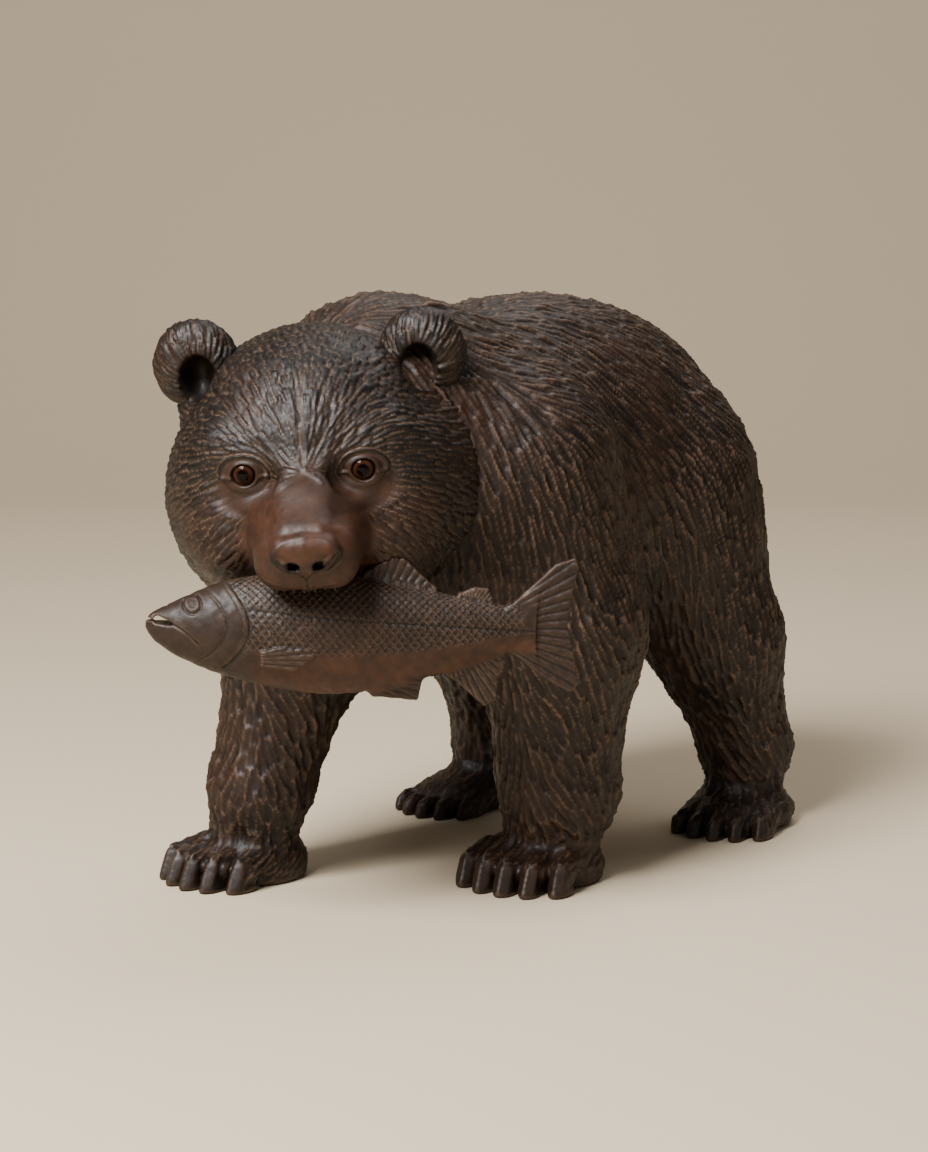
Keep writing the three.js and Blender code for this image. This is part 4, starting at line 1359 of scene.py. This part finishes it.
@dataclass
class Bear:
    """The bear: its head, its ears and four stretches of its body, each a closed carved skin."""

    form: BearForm
    salmon: SalmonForm
    place: DrawnFrame
    finish: CarvedWood
    step: float = 1.09
    face_step: float = 0.66
    ear_step: float = 0.62
    cheek_at: float = -92.0
    seam_at: float = 62.0
    waist_at: float = 128.0
    swell: float = 0.45
    overlap: float = 5.0

    def without_salmon(self, p: Points, d: np.ndarray) -> np.ndarray:
        """Cut the salmon's seat out of a distance."""
        axes = self.salmon.axes(self.form.head)
        near = np.linalg.norm(p - np.array(axes.outside(np.array([[86.0, 0, 0]]))[0], np.float32), axis=1) < 110
        if near.any():
            d[near] = np.maximum(d[near], 0.35 - self.salmon.local_distance(axes.inside(p[near])))
        return d

    def head_distance(self, q: Points) -> np.ndarray:
        """Give the distance to the head in its own frame, hollow where it lies deep in the neck."""
        p = self.form.head.outside(q).astype(np.float32)
        return self.without_salmon(p, np.maximum(self.form.skull(p), -(self.form.trunk(p) + self.overlap)))

    def body_distance(self, p: Points) -> np.ndarray:
        """Give the distance to the body and legs, hollow where the neck lies deep in the head."""
        d = np.maximum(self.form.body(p), -(self.form.skull(p) + self.overlap))
        return self.without_salmon(p, d)

    def head_skins(self) -> list[CarvedSkin]:
        """Make the head's carved skin, on a grid that is finest at the face, and divide it at the cheeks."""
        fine = self.face_step
        lines = (grid_lines(-78, 78, fine, fine * 1.6, (-30, 30)), grid_lines(-72, 92, fine, fine * 1.6, (26, 88)),
                 grid_lines(-86, 70, fine, fine * 1.6, (-34, 26)))
        points, faces = SkinGrid(self.head_distance, lines).skin()
        skin = CarvedSkin(self.form.head.outside(points), faces)
        log.info("head: %d corners", len(points))
        skin.carve(HeadCarving(self.form).coat, self.swell)
        return skin.divided(1, self.cheek_at)

    def ear_skin(self, side: int) -> CarvedSkin:
        """Make the carved skin of one ear, which stands in the head."""
        x, y, z = self.form.ear_at
        step = self.ear_step

        def distance(q: Points) -> np.ndarray:
            """Give the distance to the ear in the head's frame."""
            p = self.form.head.outside(q).astype(np.float32)
            return np.maximum(self.form.ear(self.form.mirrored(p)[1]), -(self.form.skull(p) + self.overlap))

        lines = tuple(grid_lines(middle - reach, middle + reach, step, step, (middle - reach, middle + reach))
                      for middle, reach in ((side * x, 21), (y, 14), (z, 22)))
        points, faces = SkinGrid(distance, lines).skin()
        skin = CarvedSkin(self.form.head.outside(points), faces)
        skin.carve(HeadCarving(self.form, on_ear=True).coat, self.swell)
        return skin

    def body_skins(self) -> list[CarvedSkin]:
        """Make the carved skin of the body and legs, and divide it behind the forelegs."""
        step = self.step
        lines = tuple(grid_lines(low, high, step, step, (low, high))
                      for low, high in ((-118, 118), (-158, 226), (-4, 272)))
        points, faces = SkinGrid(self.body_distance, lines).skin()
        skin = CarvedSkin(points, faces)
        log.info("body: %d corners", len(points))
        skin.carve(BodyCarving(self.form).coat, self.swell)
        fore, hind = skin.divided(1, self.seam_at)
        return fore.divided(2, self.waist_at) + hind.divided(2, self.waist_at)

    def build(self) -> list[bpy.types.Object]:
        """Make the pieces."""
        wood = self.finish.material()
        skins = [*self.head_skins(), self.ear_skin(1), self.ear_skin(-1), *self.body_skins()]
        names = ("face", "nape", "ear_left", "ear_right", "forelegs", "shoulders", "hind_legs", "rump")
        return [skin.piece(f"bear_{name}", self.place, wood) for name, skin in zip(names, skins)]


@dataclass
class Salmon:
    """The salmon across the bear's mouth, with gill covers, overlapping scales and rayed fins."""

    form: SalmonForm
    bear: BearForm
    place: DrawnFrame
    finish: CarvedWood
    step: float = 0.6
    scale_pitch: float = 3.3
    eye: tuple[float, float] = (17.8, 8.2)

    def scales(self, s: np.ndarray, around: np.ndarray) -> np.ndarray:
        """Give the height of overlapping round scales, whose free edges point to the tail.

        Args:
            s: Places along the fish.
            around: Places round its side.

        Returns:
            Heights from 0 between the scales to 1 on their free edges.
        """
        u, v = s / self.scale_pitch, around / (self.scale_pitch * 0.62)
        row, height = np.floor(v), np.zeros(len(s), np.float32)
        taken = np.zeros(len(s), bool)
        for back in (-1, 0, 1):
            for up in (0, -1, 1):
                line_of = row + up
                shift = 0.5 * (line_of % 2)
                centre = np.floor(u - shift) + back + shift
                a, b = u - centre, (v - line_of - 0.5) * 0.62
                inside = (np.hypot(a, b) < 0.68) & (a > -0.2) & ~taken
                height = np.where(inside, 0.25 + 0.75 * np.clip(np.hypot(a, b) / 0.68, 0, 1) ** 2, height)
                taken |= inside
        return height

    def relief(self, q: Points, n: np.ndarray) -> tuple[np.ndarray, np.ndarray]:
        """Work out the salmon's carving.

        Args:
            q: Points of its skin in its own frame.
            n: The outward directions there.

        Returns:
            How deep each point is cut, and how far it lies on the belly.
        """
        s, t, w = q[:, 0], q[:, 1], q[:, 2]
        share = np.clip(s / self.form.length, 0, self.form.places[-1])
        middle = self.form.measure(share, self.form.middle)
        tall = self.form.measure(share, self.form.back)
        on_body = ramp(-self.form.body(q), -1.2, -0.4)
        up = (w - middle) / tall
        around = np.arcsin(np.clip(up, -1, 1)) * tall
        gill = 40.1 - 0.033 * (w - 0.6) ** 2
        scaled = ramp(s, gill + 0.6, gill + 1.8) * ramp(up, -0.38, -0.22) * (1 - ramp(s, 146.0, 153.0)) * on_body
        cut = 0.8 * (1 - self.scales(s, around)) * scaled
        lateral = line(w - (4.7 - 0.0714 * (s - 74.0)), 0.5) * ramp(s, gill, gill + 3)
        cut += 0.45 * lateral * on_body
        near = ramp(np.abs(t), 1.5, 3.5) * on_body
        for edge, width, deep in ((gill, 1.2, 1.1), (gill - 2.6, 0.6, 0.35), (31.4 - 0.05 * (w - 0.5) ** 2, 0.9, 0.7)):
            behind = s - edge
            cut += deep * np.where(behind > 0, np.exp(-behind / width), np.exp(behind / 0.3)) * near * (np.abs(w) < 17)
        along = s - 9.5
        jaw = np.abs(w - (0.4 - 0.3 * along - 0.035 * along * np.abs(along)))
        jaw += 4 * np.maximum(np.abs(along - 5.6) - 5.6, 0)
        cut += 0.7 * line(jaw, 0.55) * on_body
        ring = np.hypot(s - self.eye[0], w - self.eye[1])
        cut += (0.75 * line(ring - 3.5, 0.5) - 0.5 * np.clip(1 - (ring / 3.2) ** 2, 0, 1)
                + 0.4 * line(ring - 1.6, 0.35)) * near
        cut += 0.9 * line(np.hypot(s - 7.6, w - 7.0), 0.65) * on_body
        flat = ramp(np.abs(n[:, 1]), 0.5, 0.8)
        for fin in self.form.fins:
            near = ramp(-self.form.fin_distance(q, fin), -1.2, -0.2) * (1 - on_body) * flat
            root = np.array(fin.root) * self.form.length
            angle = np.arctan2(w - root[1], s - root[0])
            cut += 0.75 * (1 - np.abs(np.sin(angle * fin.rays * 0.9))) ** 1.5 * near
        near = ramp(-self.form.pectoral_distance(q), -0.8, -0.1) * flat
        angle = np.arctan2(w + 0.07 * self.form.length, s - 0.18 * self.form.length)
        cut += 0.6 * (1 - np.abs(np.sin(angle * 36))) ** 1.5 * near
        return cut, (1 - ramp(up, -0.6, -0.15)) * ramp(s, 38, 48) * on_body

    def build(self) -> list[bpy.types.Object]:
        """Make the skin, carve it and dress it."""
        step = self.step
        lines = tuple(grid_lines(low, high, step, step, (low, high)) for low, high in ((-6, 182), (-24, 24), (-38, 36)))
        points, faces = SkinGrid(self.form.local_distance, lines).skin()
        normals = corner_normals(points, faces)
        cut, belly = self.relief(points.astype(np.float32), normals)
        wear = 0.1 * np.sin(points[:, 0] * 0.9 + 2.0 * np.sin(points[:, 2] * 0.5))
        points = points - normals * (cut - 0.2 + wear * (cut < 0.1))[:, None]
        rise = crests(points, faces, corner_normals(points, faces))
        place = self.form.axes(self.bear.head)
        if np.linalg.det(place.matrix) < 0:
            faces = faces[:, ::-1]
        # ridge paints shade down in the scale edges and carved lines; crest marks a light line, partly wear and partly
        # painted sheen.
        values = {
            "ridge": np.clip(1 - cut / 0.8, 0, 1), "crest": np.clip((rise - 0.06) / 0.3, 0, 1),
            "tone": np.full(len(points), 0.5), "warm": belly, "nose": np.zeros(len(points)),
        }
        corners = self.place.metres(place.outside(points))
        return [mesh_object("salmon_carved", corners, [faces], values, self.finish.material())]


@dataclass
class Eye:
    """A round glass eye, set in its socket."""

    side: str
    form: BearForm
    place: DrawnFrame

    def build(self) -> list[bpy.types.Object]:
        """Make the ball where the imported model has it."""
        low, high = (np.array(v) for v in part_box(f"eye_{self.side}"))
        centre, radius = (low + high) / 2, float((high - low).max() / 2)
        sign = 1 if self.side == "left" else -1
        looks = self.form.head.turned(unit(np.array([0.1 * sign, 1.0, 0.02])))
        finish = EyeGlass(f"eye_glass_{self.side}", tuple(looks), tuple(centre))
        mesh = bpy.data.meshes.new(f"eye_ball_{self.side}")
        ball = bmesh.new()
        bmesh.ops.create_icosphere(ball, subdivisions=4, radius=radius, matrix=Matrix.Translation(Vector(centre)))
        ball.to_mesh(mesh)
        ball.free()
        mesh.polygons.foreach_set("use_smooth", np.ones(len(mesh.polygons), bool))
        mesh.materials.append(finish.material())
        piece = bpy.data.objects.new(f"eye_ball_{self.side}", mesh)
        bpy.context.scene.collection.objects.link(piece)
        return [piece]


@dataclass
class SpikeRow:
    """Small pointed pieces set along a path by Geometry Nodes."""

    name: str
    path: np.ndarray
    directions: np.ndarray
    sizes: np.ndarray
    material: bpy.types.Material
    thickness: float
    sides: int = 10

    def tree(self) -> bpy.types.NodeTree:
        """Build the node tree that sets one curved spike on each point of the path."""
        tree = bpy.data.node_groups.new(f"{self.name}_nodes", "GeometryNodeTree")
        face = tree.interface
        face.new_socket("Path", in_out="INPUT", socket_type="NodeSocketGeometry")
        thickness = face.new_socket("Thickness", in_out="INPUT", socket_type="NodeSocketFloat")
        thickness.default_value = self.thickness
        finish = face.new_socket("Finish", in_out="INPUT", socket_type="NodeSocketMaterial")
        finish.default_value = self.material
        face.new_socket("Spikes", in_out="OUTPUT", socket_type="NodeSocketGeometry")
        nodes, links = tree.nodes, tree.links
        given, result = nodes.new("NodeGroupInput"), nodes.new("NodeGroupOutput")
        spike = nodes.new("GeometryNodeMeshCone")
        spike.inputs["Vertices"].default_value = self.sides
        spike.inputs["Side Segments"].default_value = 6
        spike.inputs["Radius Top"].default_value = 0.0
        spike.inputs["Depth"].default_value = 1.0
        links.new(given.outputs["Thickness"], spike.inputs["Radius Bottom"])
        bend = nodes.new("GeometryNodeSetPosition")
        links.new(spike.outputs["Mesh"], bend.inputs["Geometry"])
        where = nodes.new("GeometryNodeInputPosition")
        split = nodes.new("ShaderNodeSeparateXYZ")
        links.new(where.outputs[0], split.inputs[0])
        square = nodes.new("ShaderNodeMath")
        square.operation = "POWER"
        links.new(split.outputs["Z"], square.inputs[0])
        square.inputs[1].default_value = 2.0
        hook = nodes.new("ShaderNodeMath")
        hook.operation = "MULTIPLY"
        links.new(square.outputs[0], hook.inputs[0])
        hook.inputs[1].default_value = -0.22
        offset = nodes.new("ShaderNodeCombineXYZ")
        links.new(hook.outputs[0], offset.inputs["Y"])
        links.new(offset.outputs[0], bend.inputs["Offset"])
        aim = nodes.new("GeometryNodeInputNamedAttribute")
        aim.data_type = "FLOAT_VECTOR"
        aim.inputs["Name"].default_value = "aim"
        size = nodes.new("GeometryNodeInputNamedAttribute")
        size.data_type = "FLOAT"
        size.inputs["Name"].default_value = "size"
        turn = nodes.new("FunctionNodeAlignRotationToVector")
        turn.axis = "Z"
        links.new(aim.outputs["Attribute"], turn.inputs["Vector"])
        put = nodes.new("GeometryNodeInstanceOnPoints")
        links.new(given.outputs["Path"], put.inputs["Points"])
        links.new(bend.outputs["Geometry"], put.inputs["Instance"])
        links.new(turn.outputs["Rotation"], put.inputs["Rotation"])
        links.new(size.outputs["Attribute"], put.inputs["Scale"])
        real = nodes.new("GeometryNodeRealizeInstances")
        links.new(put.outputs["Instances"], real.inputs["Geometry"])
        dress = nodes.new("GeometryNodeSetMaterial")
        links.new(real.outputs["Geometry"], dress.inputs["Geometry"])
        links.new(given.outputs["Finish"], dress.inputs["Material"])
        links.new(dress.outputs["Geometry"], result.inputs[0])
        return tree

    def build(self) -> bpy.types.Object:
        """Set the spikes and turn them into a plain mesh."""
        mesh = bpy.data.meshes.new(self.name)
        mesh.from_pydata([tuple(p) for p in self.path], [], [])
        mesh.attributes.new("aim", "FLOAT_VECTOR", "POINT").data.foreach_set(
            "vector", self.directions.astype(np.float32).ravel())
        mesh.attributes.new("size", "FLOAT", "POINT").data.foreach_set("value", self.sizes.astype(np.float32))
        piece = bpy.data.objects.new(self.name, mesh)
        bpy.context.scene.collection.objects.link(piece)
        modifier = piece.modifiers.new("spikes", "NODES")
        modifier.node_group = self.tree()
        for item in modifier.node_group.interface.items_tree:
            if item.in_out == "INPUT" and item.name == "Thickness":
                modifier[item.identifier] = self.thickness
            if item.in_out == "INPUT" and item.name == "Finish":
                modifier[item.identifier] = self.material
        evaluated(piece)
        piece.data.polygons.foreach_set("use_smooth", np.ones(len(piece.data.polygons), bool))
        return piece


@dataclass
class Teeth:
    """The teeth under the edge of the upper lip, with a longer one at each side."""

    form: BearForm
    place: DrawnFrame
    finish: CarvedWood
    count: int = 11
    length: float = 2.3
    thickness: float = 0.42
    arch: tuple[float, float] = (16.2, 17.0)
    arch_at: tuple[float, float] = (54.5, -28.2)
    spread: float = 1.3
    dog_at: float = 0.74
    dog_share: float = 1.6

    def build(self) -> list[bpy.types.Object]:
        """Place the teeth along the lip."""
        path, aims, sizes = [], [], []
        for angle in np.linspace(-self.spread, self.spread, self.count):
            forward, up = self.arch_at
            path.append((self.arch[0] * math.sin(angle), forward + self.arch[1] * math.cos(angle), up))
            aims.append((0.0, 0.05, -1.0))
            dog = self.dog_share if abs(abs(angle) - self.dog_at) < 0.1 else 1.0
            sizes.append(self.length * dog * self.place.scale)
        head = self.form.head
        row = SpikeRow("teeth", self.place.metres(head.outside(np.array(path))), head.turned(np.array(aims)),
                       np.array(sizes), self.finish.material(), self.thickness)
        return [row.build()]


@dataclass(frozen=True)
class Lamp:
    """A large soft light: degrees from the camera's side and above the floor, metres away and across, watts."""

    name: str
    turn: float
    lift: float
    away: float
    size: float
    power: float


@dataclass(frozen=True)
class Studio:
    """The camera at the photograph's angle, a pale floor and soft light."""

    place: DrawnFrame
    azimuth: float = 31.0
    elevation: float = 9.0
    distance: float = 1400.0
    target: tuple[float, float, float] = (12.0, 0.0, 130.0)
    focal_pixels: float = 3275.0
    image_height: int = 1152
    sensor: float = 36.0
    lamps: tuple[Lamp, ...] = (
        Lamp("key", -36.0, 44.0, 1.5, 0.7, 60.0),
        Lamp("fill", 40.0, 20.0, 2.0, 1.2, 3.0),
        Lamp("top", 150.0, 62.0, 1.7, 1.0, 12.0),
    )
    air: tuple[float, float, float] = (0.95, 0.92, 0.88)
    air_strength: float = 0.13

    def camera(self) -> None:
        """Set up the camera."""
        a, e = math.radians(self.azimuth), math.radians(self.elevation)
        back = np.array([math.sin(a) * math.cos(e), -math.cos(a) * math.cos(e), math.sin(e)])
        made = bpy.data.objects.new("camera", bpy.data.cameras.new("camera"))
        made.data.sensor_width = self.sensor
        made.data.lens = self.focal_pixels * self.sensor / self.image_height
        made.data.clip_end = 20.0
        made.location = Vector(self.place.metres(np.array(self.target) + back * self.distance))
        made.rotation_euler = Vector(-back).to_track_quat("-Z", "Y").to_euler()
        bpy.context.scene.collection.objects.link(made)
        bpy.context.scene.camera = made

    def floor(self) -> None:
        """Lay the floor and bend it up behind the carving."""
        profile = [(-3.0, 0.0), (1.2, 0.0)]
        profile += [(1.2 + 0.8 * math.sin(t), 0.8 - 0.8 * math.cos(t)) for t in np.linspace(0.15, math.pi / 2, 10)]
        profile.append((2.0, 3.0))
        a = math.radians(self.azimuth)
        away, side = np.array([-math.sin(a), math.cos(a), 0]), np.array([math.cos(a), math.sin(a), 0])
        points, faces = [], []
        for far, up in profile:
            for across in (-4.0, 4.0):
                points.append(away * far + side * across + np.array([0, 0, up - 0.0005]))
        for i in range(len(profile) - 1):
            faces.append((2 * i, 2 * i + 1, 2 * i + 3, 2 * i + 2))
        piece = mesh_object("floor", np.array(points), [np.array(faces)], {}, PlainFloor().material())

    def lights(self) -> None:
        """Hang large soft lights around the carving."""
        a = math.radians(self.azimuth)
        for lamp in self.lamps:
            t, e = a + math.radians(lamp.turn), math.radians(lamp.lift)
            way = Vector((math.sin(t) * math.cos(e), -math.cos(t) * math.cos(e), math.sin(e)))
            data = bpy.data.lights.new(lamp.name, "AREA")
            data.size, data.energy = lamp.size, lamp.power
            made = bpy.data.objects.new(lamp.name, data)
            made.location = Vector((0, 0, 0.12)) + way * lamp.away
            made.rotation_euler = (-way).to_track_quat("-Z", "Y").to_euler()
            bpy.context.scene.collection.objects.link(made)
        world = bpy.data.worlds.new("studio")
        world.use_nodes = True
        world.node_tree.nodes["Background"].inputs["Color"].default_value = (*self.air, 1)
        world.node_tree.nodes["Background"].inputs["Strength"].default_value = self.air_strength
        bpy.context.scene.world = world


def main() -> None:
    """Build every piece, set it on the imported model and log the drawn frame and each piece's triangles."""
    logging.basicConfig(level=logging.INFO, format="%(name)s: %(message)s")
    form, fish = BearForm(), SalmonForm()
    place = DrawnFrame.from_eyes(form)
    log.info("drawn frame: %.6f m per mm, shift %s", place.scale, place.shift)
    # In each wood the crest colour is partly wear and partly painted sheen, and the darkest colour is painted shade.
    dark = CarvedWood("bear_wood", wood=(0.021, 0.0104, 0.0057), crest=(0.1, 0.059, 0.035),
                      recess_shade=(0.0028, 0.0014, 0.0009), warm=(0.036, 0.0128, 0.0055), nose=(0.046, 0.0165, 0.007))
    brown = CarvedWood("salmon_wood", wood=(0.02, 0.0102, 0.006), crest=(0.09, 0.054, 0.033),
                       recess_shade=(0.0035, 0.0018, 0.0012), warm=(0.046, 0.0155, 0.0062), nose=(0.06, 0.025, 0.012))
    # The teeth carry none of the carved values, so they take this material's darkest colour, painted as shade under the
    # lip.
    tooth = CarvedWood("tooth_wood", wood=(0.03, 0.019, 0.012), crest=(0.08, 0.052, 0.034),
                       recess_shade=(0.01, 0.006, 0.004), warm=(0.03, 0.018, 0.011), nose=(0.03, 0.018, 0.011))
    jobs = (
        (Bear(form, fish, place, dark), "bear_wood", ("bear",)),
        (Salmon(fish, form, place, brown), "salmon_wood", ("salmon",)),
        (Eye("left", form, place), "eye_glass", ("eye_left",)),
        (Eye("right", form, place), "eye_glass", ("eye_right",)),
        (Teeth(form, place, tooth), "bear_wood", ()),
    )
    for maker, slot, nodes in jobs:
        for piece in maker.build():
            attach(piece, "root")
            if nodes:
                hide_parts(*nodes)
            triangles = sum(len(face.vertices) - 2 for face in piece.data.polygons)
            log.info("%s: %d triangles", piece.name, triangles)
    studio = Studio(place)
    studio.camera()
    studio.floor()
    studio.lights()


if __name__ == "__main__":
    main()
